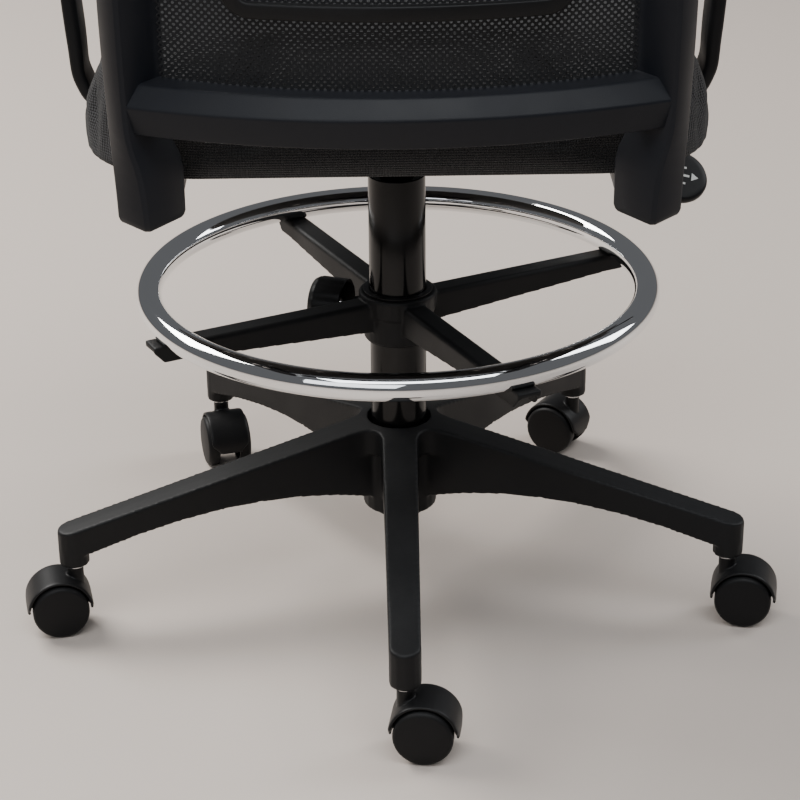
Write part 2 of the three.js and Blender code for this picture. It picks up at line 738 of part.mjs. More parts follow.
function leverRod() {
  const round = new THREE.Shape().absarc(0, 0, 4, 0, Math.PI * 2, false);
  const tube = new THREE.ExtrudeGeometry(round, {
    extrudePath: leverPath, steps: 12, curveSegments: 5,
  });
  const crank = prism([[-5, pinTop + gap], [5, pinTop + gap], [pivotX, pivotZ - 6],
    [pivotX + 20, pivotZ - 5], [pivotX + 20, pivotZ + 5], [pivotX, pivotZ + 6],
    [-5, pinTop + 5]], -3, 3).rotateX(Math.PI / 2);
  const hole = rod(boltRadius + gap, -20, 20, 12).rotateX(Math.PI / 2);
  return cut(join(crank, tube), hole.translate(pivotX, 0, pivotZ));
}

place('lever_rod', leverRod(), materials.darkSteel, seatGroup);

// Flat teardrop blade that hangs down and out from the end of the rod.
function leverPaddle() {
  const outline = [[-16, -5], [-16, 5]];
  for (let i = 0; i <= 12; i += 1) {
    const turn = rad(118 - 236 * i / 12);
    outline.push([20 + 25 * Math.cos(turn), 25 * Math.sin(turn)]);
  }
  const blade = prism(outline, -4.5, 4.5).rotateX(rad(38)).rotateY(rad(14));
  blade.translate(leverReach + 4, 0, pivotZ - leverDrop - 2);
  const round = new THREE.Shape().absarc(0, 0, 4 + gap, 0, Math.PI * 2, false);
  const socket = new THREE.ExtrudeGeometry(round, {
    extrudePath: leverPath, steps: 12, curveSegments: 5,
  });
  const end = leverPath.getPoint(1);
  const along = leverPath.getTangent(1);
  const mouth = rod(4 + gap, -3, 1, 10).rotateY(Math.PI / 2 + Math.atan2(-along.z, along.x));
  return cut(blade, socket, mouth.translate(end.x, end.y, end.z));
}

place('lever_paddle', leverPaddle(), materials.blackPlastic, seatGroup);

// ---------- seat ----------
// Outline of the seat as seen from above, narrowed by an inset: broad, with soft corners.
function seatOutline(inset, steps) {
  const halfX = seatHalfWidth - inset;
  const halfY = seatDepth / 2 - inset;
  const middle = seatRear + seatDepth / 2;
  const radius = Math.max(8, seatCorner - inset);
  return roundedRectangle(halfX, halfY, Math.min(radius, halfX, halfY), steps)
    .map(([x, y]) => [x * (y < 0 ? 1 - 0.1 * (y / halfY) ** 4 : 1), y + middle]);
}

function seatPan() {
  const pan = prism(seatOutline(panInset, 5), panBottom, panBottom + panThickness);
  let body = toSolid(pan);
  [-1, 1].forEach((sx) => [-1, 1].forEach((sy) => {
    const hole = rod(boltRadius + gap, panBottom - 5, panBottom + panThickness + 5, 12);
    hole.translate(sx * boltSpread[0], sy * boltSpread[1], 0);
    body = body.subtract(toSolid(hole));
  }));
  return toGeometry(body);
}

place('seat_pan', seatPan(), materials.blackPlastic, seatGroup);

[[-1, -1], [1, -1], [-1, 1], [1, 1]].forEach(([sx, sy], i) => {
  const headTop = plateTop - plateThickness - gap;
  const bolt = revolve([
    [0, headTop - 4],
    [boltRadius * 1.9, headTop - 4],
    [boltRadius * 1.9, headTop],
    [boltRadius, headTop],
    [boltRadius, panBottom + panThickness - 2],
    [0, panBottom + panThickness - 2],
  ], 6);
  bolt.translate(sx * boltSpread[0], sy * boltSpread[1], 0);
  place(`seat_bolt_${i + 1}`, bolt, materials.steel, seatGroup);
});

function seatCushion() {
  const levels = [[0, 16], [0.04, 10], [0.18, 3.5], [0.44, 0], [0.64, 2.5], [0.8, 8], [0.91, 17],
    [0.97, 30], [1, 54]];
  const body = loft(levels.map(([t, inset]) => seatOutline(inset, 6).map(([x, y]) => (
    new THREE.Vector3(x, y, mix(panBottom + skirtRise, seatTop, t))
  ))));
  return cut(body, prism(seatOutline(panInset - gap, 5), panBottom - 5, cushionBottom));
}

place('seat_cushion', seatCushion(), materials.seatFabric, seatGroup);

// ---------- back frame ----------
// How far back the frame lies at a height above the seat pan's underside.
const leanCurve = new THREE.CatmullRomCurve3([
  [-10, 0], [100, 0], [240, -10], [390, -34], [backHeight, -76],
].map(([z, y]) => new THREE.Vector3(0, y, z)));
const leanPoints = leanCurve.getPoints(60);

function backLean(z) {
  const height = z - panBottom;
  const next = leanPoints.findIndex((point) => point.z >= height);
  if (next < 0) return backY + leanPoints[leanPoints.length - 1].y;
  if (next === 0) return backY;
  const [low, high] = [leanPoints[next - 1], leanPoints[next]];
  return backY + mix(low.y, high.y, (height - low.z) / (high.z - low.z));
}

const cornerRadius = 70;
const cornerZ = backTop - cornerRadius;

// Depth of the upright's inner face, behind its outer edge, where the face is met at x.
function innerFaceX(depth) {
  const ridgeInner = uprightRidge - ridgeWidth;
  return mix(ridgeInner, uprightInner, (depth + uprightDepth) / (uprightDepth + uprightFront));
}

// Section of an upright at one height, for the side given by way (+1 is the sitter's right).
function uprightRing(z, way, inner, shrink) {
  const y = backLean(z);
  return [
    [backOuter - shrink, 0],
    [uprightRidge, -uprightDepth + shrink * 0.5],
    [uprightRidge - ridgeWidth, -uprightDepth + shrink * 0.5],
    [inner, uprightFront],
    [inner + 4, uprightFront + 6],
    [backOuter - 6 - shrink, uprightFront + 1],
  ].map(([x, depth]) => new THREE.Vector3(way * x, y + depth, z));
}

function upright(way) {
  const stations = [
    [heelBottom, heelInner + 4, 7], [heelBottom + 5, heelInner, 3],
    [heelBottom + 34, heelInner, 0], [barZ - barFall - 16, heelInner + 4, 0],
    [barZ - barFall - 1, uprightInner, 0], [barZ + barRise, uprightInner, 0],
  ];
  const upperSteps = 6;
  for (let i = 1; i <= upperSteps; i += 1) {
    stations.push([mix(barZ + barRise, cornerZ, i / upperSteps), uprightInner, 0]);
  }
  const post = loft(stations.map(([z, inner, shrink]) => uprightRing(z, way, inner, shrink)));
  const [near, far] = [heelInner + 4, backOuter - 8];
  const side = [Math.min(way * near, way * far), Math.max(way * near, way * far)];
  const footEnd = backY + 130;
  const foot = slab(side, [backY - 4, footEnd], [heelBottom, heelBottom + footThickness]);
  return join(post, foot);
}

place('upright_right', upright(1), materials.frameNylon, seatGroup);
place('upright_left', upright(-1), materials.frameNylon, seatGroup);

// Bowed crossbar with a ridge to the rear, its ends cut to the uprights' inner faces.
function crossbar() {
  const section = [[-uprightDepth, 0], [-uprightDepth + 12, barRise],
    [uprightFront - 3, barRise], [uprightFront - 3, -barFall + 3],
    [-uprightDepth + 5, -barFall]];
  const steps = 14;
  const rings = [];
  for (let i = 0; i <= steps; i += 1) {
    const t = mix(-1, 1, i / steps);
    rings.push(section.map(([depth, rise]) => new THREE.Vector3(
      t * (innerFaceX(depth) - gap * 1.6),
      backY + depth - barBow * (1 - t * t),
      barZ + rise,
    )));
  }
  return loft(rings);
}

place('back_crossbar', crossbar(), materials.frameNylon, seatGroup);

// Half width of the mesh at a height: straight sides and round top corners, just inside
// the frame's slanted inner faces.
const railDepth = 26;
const innerCorner = cornerRadius - railDepth;

function meshHalf(z) {
  const radius = innerCorner - 2 * gap;
  const over = Math.min(radius, Math.max(0, z - cornerZ));
  return uprightInner - innerCorner + Math.sqrt(radius ** 2 - over ** 2);
}

// How far the middle of the back lies behind its edges at a height.
const bowAt = (z) => mix(barBow, 16, Math.min(1, Math.max(0, (z - barZ) / (cornerZ - barZ))));

// Arched rail from the top of one upright to the top of the other.
function topRail() {
  const stations = [];
  const start = cornerZ + gap;
  const outer = backOuter - cornerRadius;
  const inner = uprightInner - innerCorner;
  for (let i = 0; i <= 6; i += 1) {
    const turn = rad(90 * i / 6);
    stations.push([
      [outer + cornerRadius * Math.cos(turn), start + (cornerRadius - gap) * Math.sin(turn)],
      [inner + innerCorner * Math.cos(turn), start + (innerCorner - gap) * Math.sin(turn)],
    ]);
  }
  for (let i = 1; i <= 8; i += 1) {
    const t = mix(1, -1, i / 8);
    stations.push([[t * outer, backTop], [t * inner, backTop - railDepth]]);
  }
  for (let i = 1; i <= 6; i += 1) {
    const turn = rad(90 + 90 * i / 6);
    stations.push([
      [-outer + cornerRadius * Math.cos(turn), start + (cornerRadius - gap) * Math.sin(turn)],
      [-inner + innerCorner * Math.cos(turn), start + (innerCorner - gap) * Math.sin(turn)],
    ]);
  }
  const rings = stations.map(([[outX, outZ], [inX, inZ]]) => {
    const section = [[0, 0], [0.34, -uprightDepth], [0.56, -uprightDepth],
      [1, uprightFront], [0.9, uprightFront + 6], [0.15, uprightFront + 1]];
    return section.map(([t, depth]) => {
      const x = mix(outX, inX, t);
      const z = mix(outZ, inZ, t);
      const bow = bowAt(z) * (1 - Math.min(1, Math.abs(x) / backOuter) ** 2);
      return new THREE.Vector3(x, backLean(z) + depth - bow * (z - cornerZ) / cornerRadius, z);
    });
  });
  return loft(rings);
}

place('back_top_rail', topRail(), materials.frameNylon, seatGroup);

// Front surface of the stretched mesh.
const meshDepth = 4;            // forward of the uprights' outer edge

function meshY(x, z) {
  const t = Math.min(1, Math.abs(x) / meshHalf(z));
  return backLean(z) + meshDepth - bowAt(z) * (1 - t * t);
}

function backMesh() {
  const columns = 12;
  const straightRows = 6;
  const cornerRows = 5;
  const top = backTop - railDepth - gap;
  const heights = [];
  for (let j = 0; j < straightRows; j += 1) heights.push(mix(meshBottom, cornerZ, j / straightRows));
  for (let j = 0; j <= cornerRows; j += 1) {
    heights.push(cornerZ + (top - cornerZ) * Math.sin(rad(90 * j / cornerRows)));
  }
  const rings = [];
  for (let i = 0; i <= columns; i += 1) {
    const t = mix(-1, 1, i / columns);
    const front = [];
    const rear = [];
    heights.forEach((z) => {
      const x = t * meshHalf(z);
      const y = meshY(x, z);
      front.push(new THREE.Vector3(x, y, z));
      rear.push(new THREE.Vector3(x, y - meshThickness, z));
    });
    rings.push([...front, ...rear.reverse()]);
  }
  return loft(rings);
}

place('back_mesh', backMesh(), materials.meshFabric, seatGroup);

// ---------- lumbar support ----------
// Rounded open loop behind the mesh with two side tongues that reach the uprights.
function lumbarSupport() {
  const middle = panBottom + lumbarAbovePan;
  const [halfX, halfZ] = lumbarHalf;
  const behind = 4 + meshThickness;
  const front = meshDepth - behind;
  const bent = (x, z, depth) => new THREE.Vector3(
    x, meshY(x, Math.min(z, cornerZ)) - behind - depth, z);
  const outer = roundedRectangle(halfX, halfZ, 22, 3);
  const inner = roundedRectangle(halfX - lumbarBand, halfZ - lumbarBand, 12, 3);
  const count = outer.length;
  const dense = (loop) => loop.flatMap(([x, z], i) => {
    const [nx, nz] = loop[(i + 1) % count];
    const steps = Math.max(1, Math.round(Math.abs(nx - x) / 35));
    return Array.from({ length: steps }, (_, k) => [mix(x, nx, k / steps), mix(z, nz, k / steps)]);
  });
  const [outside, inside] = [dense(outer), dense(inner)];
  const rings = outside.map(([x, z], i) => {
    const [ix, iz] = inside[i];
    return [bent(x, middle + z, 0), bent(ix, middle + iz, 0),
      bent(ix, middle + iz, lumbarThickness), bent(x, middle + z, lumbarThickness)];
  });
  const frame = closedLoop(rings);
  const tongues = [-1, 1].map((way) => {
    const reach = innerFaceX(front) - 2 * gap;
    const steps = 3;
    return loft(Array.from({ length: steps + 1 }, (_, k) => {
      const x = way * mix(halfX - 6, reach, k / steps);
      return [[-9, 0], [9, 0], [9, lumbarThickness - 2], [-9, lumbarThickness - 2]]
        .map(([z, depth]) => bent(x, middle + z, depth + 1));
    }));
  });
  return join(frame, ...tongues);
}

// Skin round rings that follow each other in a circle.
function closedLoop(rings) {
  const count = rings[0].length;
  const corners = rings.flat();
  const faces = [];
  rings.forEach((_, i) => {
    const next = (i + 1) % rings.length;
    for (let j = 0; j < count; j += 1) {
      const k = (j + 1) % count;
      const [a, b] = [i * count + j, i * count + k];
      const [c, d] = [next * count + k, next * count + j];
      faces.push([a, b, c], [a, c, d]);
    }
  });
  const volume = faces.reduce((sum, [a, b, c]) => {
    const edge = new THREE.Vector3().crossVectors(corners[b], corners[c]);
    return sum + corners[a].dot(edge);
  }, 0);
  const geometry = new THREE.BufferGeometry().setFromPoints(corners);
  geometry.setIndex(faces.flatMap(([a, b, c]) => (volume > 0 ? [a, b, c] : [a, c, b])));
  return geometry;
}

place('lumbar_support', lumbarSupport(), materials.blackPlastic, seatGroup);

// ---------- arms ----------
function armPost(way) {
  const postX = seatHalfWidth + armClear + armPostThickness / 2;
  const bracketZ = panBottom - gap - armPostThickness * 0.4;
  const padBottom = padTop - padThickness;
  const bend = new THREE.CatmullRomCurve3([
    new THREE.Vector3(seatHalfWidth * 0.5, 0, bracketZ),
    new THREE.Vector3(seatHalfWidth * 0.75, 0, bracketZ),
    new THREE.Vector3(seatHalfWidth - 12, 0, bracketZ - 1),
    new THREE.Vector3(postX - 3, 0, bracketZ + 18),
    new THREE.Vector3(postX + 1, 0, bracketZ + 52),
    new THREE.Vector3(postX + 6, 0, mix(bracketZ, padBottom, 0.5)),
    new THREE.Vector3(postX + 4, 0, padBottom - 7),
  ], false, 'centripetal');
  const steps = 22;
  const rings = Array.from({ length: steps + 1 }, (_, i) => {
    const t = i / steps;
    const centre = bend.getPoint(t);
    const along = bend.getTangent(t);
    const rise = Math.min(1, Math.max(0, (centre.z - bracketZ) / 60));
    const half = mix(armPostThickness * 0.4, armPostThickness / 2, rise);
    const lean = armY + 14 * ((centre.z - bracketZ) / (padBottom - bracketZ));
    const wide = armPostWidth / 2;
    return roundedRectangle(half, wide, 3.5, 1).map(([across, y]) => new THREE.Vector3(
      way * (centre.x + along.z * across), lean + y, centre.z - along.x * across));
  });
  const yoke = prism(roundedRectangle(22, 72, 10, 2), padBottom - 9, padBottom - gap);
  yoke.translate(way * (postX + 4), armY + padShift * 0.6, 0);
  return join(loft(rings), yoke);
}

function armPad(way) {
  const postX = seatHalfWidth + armClear + armPostThickness / 2;
  const levels = [[0, 4], [0.2, 0], [0.7, 0], [0.9, 2.5], [1, 7]];
  return loft(levels.map(([t, inset]) => (
    roundedRectangle(padHalf[0] - inset, padHalf[1] - inset, 30 - inset, 4)
      .map(([x, y]) => new THREE.Vector3(way * (postX + 2) + x, armY + padShift + y,
        padTop - padThickness * (1 - t)))
  )));
}

[['right', 1], ['left', -1]].forEach(([side, way]) => {
  place(`arm_post_${side}`, armPost(way), materials.blackPlastic, seatGroup);
  place(`arm_pad_${side}`, armPad(way), materials.padPlastic, seatGroup);
});

export default chair;
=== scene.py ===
import json
import math

import bmesh
import bpy
from mathutils import Matrix, Vector


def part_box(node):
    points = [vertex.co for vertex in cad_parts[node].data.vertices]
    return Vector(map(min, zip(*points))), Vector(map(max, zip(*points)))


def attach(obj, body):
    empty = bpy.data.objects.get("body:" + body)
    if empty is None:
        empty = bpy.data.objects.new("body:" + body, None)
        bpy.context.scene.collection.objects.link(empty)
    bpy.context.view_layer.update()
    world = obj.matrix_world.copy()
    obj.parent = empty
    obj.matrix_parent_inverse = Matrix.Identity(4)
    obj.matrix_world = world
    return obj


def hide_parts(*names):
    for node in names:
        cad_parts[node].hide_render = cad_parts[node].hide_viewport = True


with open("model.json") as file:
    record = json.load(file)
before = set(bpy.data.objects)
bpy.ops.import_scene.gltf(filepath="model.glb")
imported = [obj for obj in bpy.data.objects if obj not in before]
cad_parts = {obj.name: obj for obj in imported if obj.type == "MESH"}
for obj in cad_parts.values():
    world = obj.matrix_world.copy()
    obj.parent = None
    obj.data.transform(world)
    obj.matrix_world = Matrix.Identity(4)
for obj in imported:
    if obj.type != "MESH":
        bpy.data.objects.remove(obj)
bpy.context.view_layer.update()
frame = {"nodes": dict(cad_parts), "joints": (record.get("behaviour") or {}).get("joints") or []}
mm = 0.001
scene = bpy.context.scene
joints = {joint["name"]: joint for joint in frame["joints"]}


# measuring the frame
def low(node):
    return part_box(node)[0]


def high(node):
    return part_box(node)[1]


def cadPoints(node):
    return [vertex.co for vertex in frame["nodes"][node].data.vertices]


def mix(a, b, t):
    return a + (b - a) * t


def smoothStep(t):
    t = min(1.0, max(0.0, t))
    return t * t * (3 - 2 * t)


# making meshes
def softCorners(points, radius, steps=3, isClosed=True):
    made = []
    count = len(points)
    for i, point in enumerate(points):
        if not isClosed and i in (0, count - 1):
            made.append(tuple(point))
            continue
        here = Vector(point)
        before, after = Vector(points[i - 1]), Vector(points[(i + 1) % count])
        reach = min(radius, 0.45 * (before - here).length, 0.45 * (after - here).length)
        first = here + (before - here).normalized() * reach
        last = here + (after - here).normalized() * reach
        for k in range(steps + 1):
            t = k / steps
            made.append(tuple(first * (1 - t) ** 2 + here * 2 * t * (1 - t) + last * t * t))
    return made


def roundedBox(halfX, halfY, radius, steps=6):
    made = []
    for signX, signY, begin in ((1, 1, 0), (-1, 1, 90), (-1, -1, 180), (1, -1, 270)):
        for k in range(steps + 1):
            a = math.radians(begin + 90 * k / steps)
            made.append((signX * (halfX - radius) + radius * math.cos(a),
                         signY * (halfY - radius) + radius * math.sin(a)))
    return made


def tidyMesh(bm, name, creaseDegrees=38):
    bmesh.ops.remove_doubles(bm, verts=bm.verts, dist=1e-6)
    bmesh.ops.recalc_face_normals(bm, faces=bm.faces)
    mesh = bpy.data.meshes.new(name)
    bm.to_mesh(mesh)
    bm.free()
    mesh.shade_smooth()
    mesh.set_sharp_from_angle(angle=math.radians(creaseDegrees))
    return mesh


def latheMesh(name, profile, steps):
    bm = bmesh.new()
    ring = [bm.verts.new((r, 0, z)) for r, z in profile]
    following = ring[1:] if profile[0][0] == 0 else ring[1:] + ring[:1]
    edges = [bm.edges.new(pair) for pair in zip(ring, following)]
    bmesh.ops.spin(bm, geom=ring + edges, axis=(0, 0, 1), cent=(0, 0, 0), steps=steps,
                   angle=math.tau, use_duplicate=False)
    return tidyMesh(bm, name)


# A profile that starts on the axis makes a solid part, and any other makes a ring.
def turnedMesh(name, profile, edge, steps=72, rounds=3):
    isRing = profile[0][0] > 0
    return latheMesh(name, softCorners(profile, edge, rounds, isRing), steps)


def addLoft(bm, rings, isLoop=False):
    rows = [[bm.verts.new(point) for point in ring] for ring in rings]
    count = len(rows[0])
    last = len(rows) if isLoop else len(rows) - 1
    for i in range(last):
        here, there = rows[i], rows[(i + 1) % len(rows)]
        for j in range(count):
            k = (j + 1) % count
            bm.faces.new((here[j], here[k], there[k], there[j]))
    if not isLoop:
        bm.faces.new(rows[0][::-1])
        bm.faces.new(rows[-1])


def loftMesh(name, rings, creaseDegrees=38):
    bm = bmesh.new()
    addLoft(bm, rings)
    return tidyMesh(bm, name, creaseDegrees)


def tubeRings(path, radius, sides):
    rings = []
    count = len(path)
    side = None
    for i, point in enumerate(path):
        along = (path[min(i + 1, count - 1)] - path[max(i - 1, 0)]).normalized()
        if side is None:
            side = along.orthogonal().normalized()
        side = (side - along * side.dot(along)).normalized()
        other = along.cross(side)
        rings.append([point + (side * math.cos(a) + other * math.sin(a)) * radius
                      for a in (math.tau * k / sides for k in range(sides))])
    return rings


def smoothPath(points, perSpan=8):
    points = [Vector(p) for p in points]
    padded = [points[0] * 2 - points[1], *points, points[-1] * 2 - points[-2]]
    made = []
    for i in range(1, len(padded) - 2):
        a, b, c, d = padded[i - 1:i + 3]
        for k in range(perSpan):
            t = k / perSpan
            made.append(0.5 * (2 * b + (c - a) * t + (2 * a - 5 * b + 4 * c - d) * t * t
                               + (3 * b - a - 3 * c + d) * t ** 3))
    made.append(points[-1])
    return made


def piece(name, mesh, body, material, stands=()):
    thing = bpy.data.objects.new(name, mesh)
    scene.collection.objects.link(thing)
    mesh.materials.clear()
    mesh.materials.append(material)
    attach(thing, body)
    if stands:
        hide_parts(*([stands] if isinstance(stands, str) else stands))
    return thing


def settled(thing):
    bpy.context.view_layer.update()
    graph = bpy.context.evaluated_depsgraph_get()
    mesh = bpy.data.meshes.new_from_object(thing.evaluated_get(graph))
    thing.modifiers.clear()
    thing.data = mesh
    return mesh


def meldedMesh(name, bm, voxel, rounds):
    bmesh.ops.recalc_face_normals(bm, faces=bm.faces)
    mesh = bpy.data.meshes.new(name)
    bm.to_mesh(mesh)
    bm.free()
    thing = bpy.data.objects.new(name + "Raw", mesh)
    scene.collection.objects.link(thing)
    remesh = thing.modifiers.new("remesh", "REMESH")
    remesh.mode = "VOXEL"
    remesh.voxel_size = voxel
    soften = thing.modifiers.new("soften", "SMOOTH")
    soften.factor = 0.5
    soften.iterations = rounds
    made = settled(thing)
    bpy.data.objects.remove(thing)
    made.name = name
    made.shade_smooth()
    return made


def cadCopy(node):
    bm = bmesh.new()
    bm.from_mesh(frame["nodes"][node].data)
    bmesh.ops.remove_doubles(bm, verts=bm.verts, dist=1e-6)
    return bm


def cadPiece(name, node, body, material, edge):
    bm = cadCopy(node)
    bmesh.ops.dissolve_limit(bm, angle_limit=math.radians(2), verts=bm.verts, edges=bm.edges)
    thing = piece(name, tidyMesh(bm, name, 30), body, material, node)
    bevel = thing.modifiers.new("edges", "BEVEL")
    bevel.width = edge
    bevel.segments = 2
    bevel.limit_method = "ANGLE"
    bevel.angle_limit = math.radians(30)
    bevel.harden_normals = False


def blockMesh(name, size, centre, edge):
    bm = bmesh.new()
    bmesh.ops.create_cube(bm, size=1, matrix=Matrix.Diagonal((*size, 1)))
    bmesh.ops.bevel(bm, geom=bm.edges[:], offset=edge, segments=2, profile=0.5, affect="EDGES")
    bmesh.ops.translate(bm, vec=centre, verts=bm.verts)
    return tidyMesh(bm, name, 40)


def boltMesh(name, rim, neck, depth, place):
    mesh = turnedMesh(name, [(0, 0), (rim, 0), (rim, -1.2 * mm), (neck, -1.3 * mm),
                             (neck, -depth), (0, -depth)], 0.5 * mm, 30, 2)
    mesh.transform(Matrix.Translation(place))
    return mesh


print("stage: helpers ready")


# shared finishes
def shaderGroup(name, inputs, outputs):
    group = bpy.data.node_groups.new(name, "ShaderNodeTree")
    for label, value in inputs:
        group.interface.new_socket(label, in_out="INPUT", socket_type="NodeSocketFloat"
                                   ).default_value = value
    for label in outputs:
        group.interface.new_socket(label, in_out="OUTPUT", socket_type="NodeSocketFloat")
    place = group.nodes.new("ShaderNodeTexCoord").outputs["Object"]
    return group, group.nodes.new("NodeGroupInput"), group.nodes.new("NodeGroupOutput"), place


def feed(tree, made, values):
    for key, value in values.items():
        if isinstance(value, bpy.types.NodeSocket):
            tree.links.new(value, made.inputs[key])
        else:
            made.inputs[key].default_value = value
    return made


def node(tree, kind, links=None, **settings):
    made = tree.nodes.new(kind)
    for key, value in settings.items():
        setattr(made, key, value)
    return feed(tree, made, links or {})


def math2(tree, operation, a, b=0.5, isClamped=False):
    return node(tree, "ShaderNodeMath", {0: a, 1: b}, operation=operation,
                use_clamp=isClamped).outputs[0]


def ramp(tree, value, start, end):
    made = node(tree, "ShaderNodeMapRange", {"Value": value, "From Min": start, "From Max": end})
    made.interpolation_type = "SMOOTHSTEP"
    return made.outputs["Result"]


def noise(tree, place, scale, detail=3.0, roughness=0.55):
    return node(tree, "ShaderNodeTexNoise", {"Vector": place, "Scale": scale, "Detail": detail,
                                             "Roughness": roughness}).outputs["Fac"]


# Spark-eroded texture of moulded plastic: a fine height and a slow change in shine.
grainGroup, start, end, place = shaderGroup("mouldedGrain", [("Scale", 900.0)], ["Height", "Shine"])
tree = grainGroup
fine = noise(tree, place, start.outputs["Scale"], 2.0)
cells = node(tree, "ShaderNodeTexVoronoi", {"Vector": place,
             "Scale": start.outputs["Scale"]}).outputs["Distance"]
feed(tree, end, {"Height": math2(tree, "ADD", fine, math2(tree, "MULTIPLY", cells, 0.6)),
                 "Shine": noise(tree, place, 14.0, 4.0)})

# Lint and dust that lie on upward faces, as a mask.
dustGroup, start, end, place = shaderGroup("settledDust", [("Scale", 420.0), ("Amount", 0.5)],
                                           ["Mask"])
tree = dustGroup
facing = node(tree, "ShaderNodeSeparateXYZ", {
    0: node(tree, "ShaderNodeNewGeometry").outputs["Normal"]}).outputs["Z"]
upward = ramp(tree, facing, 0.25, 0.95)
spots = node(tree, "ShaderNodeTexVoronoi", {"Vector": place,
             "Scale": start.outputs["Scale"], "Randomness": 1.0}).outputs["Distance"]
dots = ramp(tree, spots, 0.16, 0.07)
patches = ramp(tree, noise(tree, place, 46.0, 4.0), 0.56, 0.72)
film = math2(tree, "MULTIPLY", noise(tree, place, 95.0, 6.0, 0.7), 0.22)
lying = math2(tree, "ADD", math2(tree, "MULTIPLY", dots, patches), film)
tree.links.new(
    math2(tree, "MULTIPLY", math2(tree, "MULTIPLY", lying, upward),
          start.outputs["Amount"], True), end.inputs["Mask"])

# Fine scratches that run across a surface in two directions, as a mask.
scratchGroup, start, end, place = shaderGroup("hairScratches", [("Scale", 60.0), ("Amount", 0.5)],
                                              ["Mask"])
tree = scratchGroup
lines = []
for turn, stretch in ((0.7, 14.0), (-1.1, 9.0)):
    turned = node(tree, "ShaderNodeMapping", {
        "Vector": place, "Rotation": (0.4, turn, turn * 0.7),
        "Scale": (stretch, 1.0, stretch * 0.6)}).outputs["Vector"]
    streak = noise(tree, turned, start.outputs["Scale"], 5.0, 0.75)
    lines.append(ramp(tree, streak, 0.66, 0.72))
both = math2(tree, "MAXIMUM", lines[0], lines[1])
patchy = ramp(tree, noise(tree, place, 18.0, 3.0), 0.5, 0.7)
tree.links.new(
    math2(tree, "MULTIPLY", math2(tree, "MULTIPLY", both, patchy),
          start.outputs["Amount"], True), end.inputs["Mask"])

# Ribbed open-knit fabric, laid on whichever way a surface faces, with a mask of painted shade in
# the knit's hollows.
knitGroup, start, end, place = shaderGroup("ribbedKnit", [("Pitch", 900.0)], ["Height", "HollowShade"])
tree = knitGroup
parts = node(tree, "ShaderNodeSeparateXYZ", {0: place})
normal = node(tree, "ShaderNodeSeparateXYZ", {
    0: node(tree, "ShaderNodeTexCoord").outputs["Normal"]})
waves = {axis: math2(tree, "MULTIPLY", parts.outputs[axis], start.outputs["Pitch"])
         for axis in "XYZ"}
weights, fields = [], []
for facingAxis, a, b in (("Z", "X", "Y"), ("Y", "X", "Z"), ("X", "Y", "Z")):
    first = math2(tree, "SINE", math2(tree, "ADD", waves[a], waves[b]))
    second = math2(tree, "SINE", math2(tree, "SUBTRACT", waves[a], waves[b]))
    field = math2(tree, "MULTIPLY", first, second)
    size = math2(tree, "ABSOLUTE", normal.outputs[facingAxis])
    weight = math2(tree, "POWER", size, 6.0)
    weights.append(weight)
    fields.append(math2(tree, "MULTIPLY", field, weight))
total = math2(tree, "ADD", math2(tree, "ADD", weights[0], weights[1]), weights[2])
summed = math2(tree, "ADD", math2(tree, "ADD", fields[0], fields[1]), fields[2])
pattern = math2(tree, "DIVIDE", summed, total)
fuzz = math2(tree, "MULTIPLY", noise(tree, place, 1500.0, 2.0), 0.5)
# Height gives the bump; the second output is painted shade, marking the lowest troughs of the knit
# for a darker colour.
feed(tree, end, {"Height": math2(tree, "ADD", pattern, fuzz),
                 "HollowShade": ramp(tree, pattern, -0.2, -0.8)})


def blended(tree, mask, first, second):
    if not isinstance(first, bpy.types.NodeSocket):
        first = (*first, 1)
    return node(tree, "ShaderNodeMix", {0: mask, 6: first, 7: (*second, 1)},
                data_type="RGBA").outputs[2]


def newMaterial(name):
    material = bpy.data.materials.new(name)
    material.use_nodes = True
    tree = material.node_tree
    return material, tree, tree.nodes["Principled BSDF"]


def placed(tree, group, **values):
    return node(tree, "ShaderNodeGroup", values, node_tree=group)


def bump(tree, shader, height, distance, strength=1.0):
    made = node(tree, "ShaderNodeBump", {"Height": height, "Distance": distance,
                                         "Strength": strength})
    feed(tree, shader, {"Normal": made.outputs["Normal"]})


def mouldedPlastic(name, colour, roughness, grain=900.0, depth=0.06, dust=0.3, scratches=0.25,
                   spread=0.12, dustColour=(0.10, 0.097, 0.093)):
    material, tree, shader = newMaterial(name)
    texture = placed(tree, grainGroup, Scale=grain)
    dusty = placed(tree, dustGroup, Amount=dust)
    scored = placed(tree, scratchGroup, Amount=scratches)
    shade = blended(tree, texture.outputs["Shine"], [c * 0.85 for c in colour],
                    [c * 1.2 for c in colour])
    shade = blended(tree, scored.outputs["Mask"], shade, [c + 0.03 for c in colour])
    shade = blended(tree, dusty.outputs["Mask"], shade, dustColour)
    rough = node(tree, "ShaderNodeMapRange", {
        "Value": texture.outputs["Shine"], "From Min": 0.3, "From Max": 0.7,
        "To Min": roughness - spread / 2, "To Max": roughness + spread / 2}).outputs["Result"]
    rough = math2(tree, "ADD", rough, math2(tree, "MULTIPLY", dusty.outputs["Mask"], 0.3), True)
    feed(tree, shader, {"Base Color": shade, "Roughness": rough, "Specular IOR Level": 0.19})
    bump(tree, shader, texture.outputs["Height"], depth * mm)
    return material


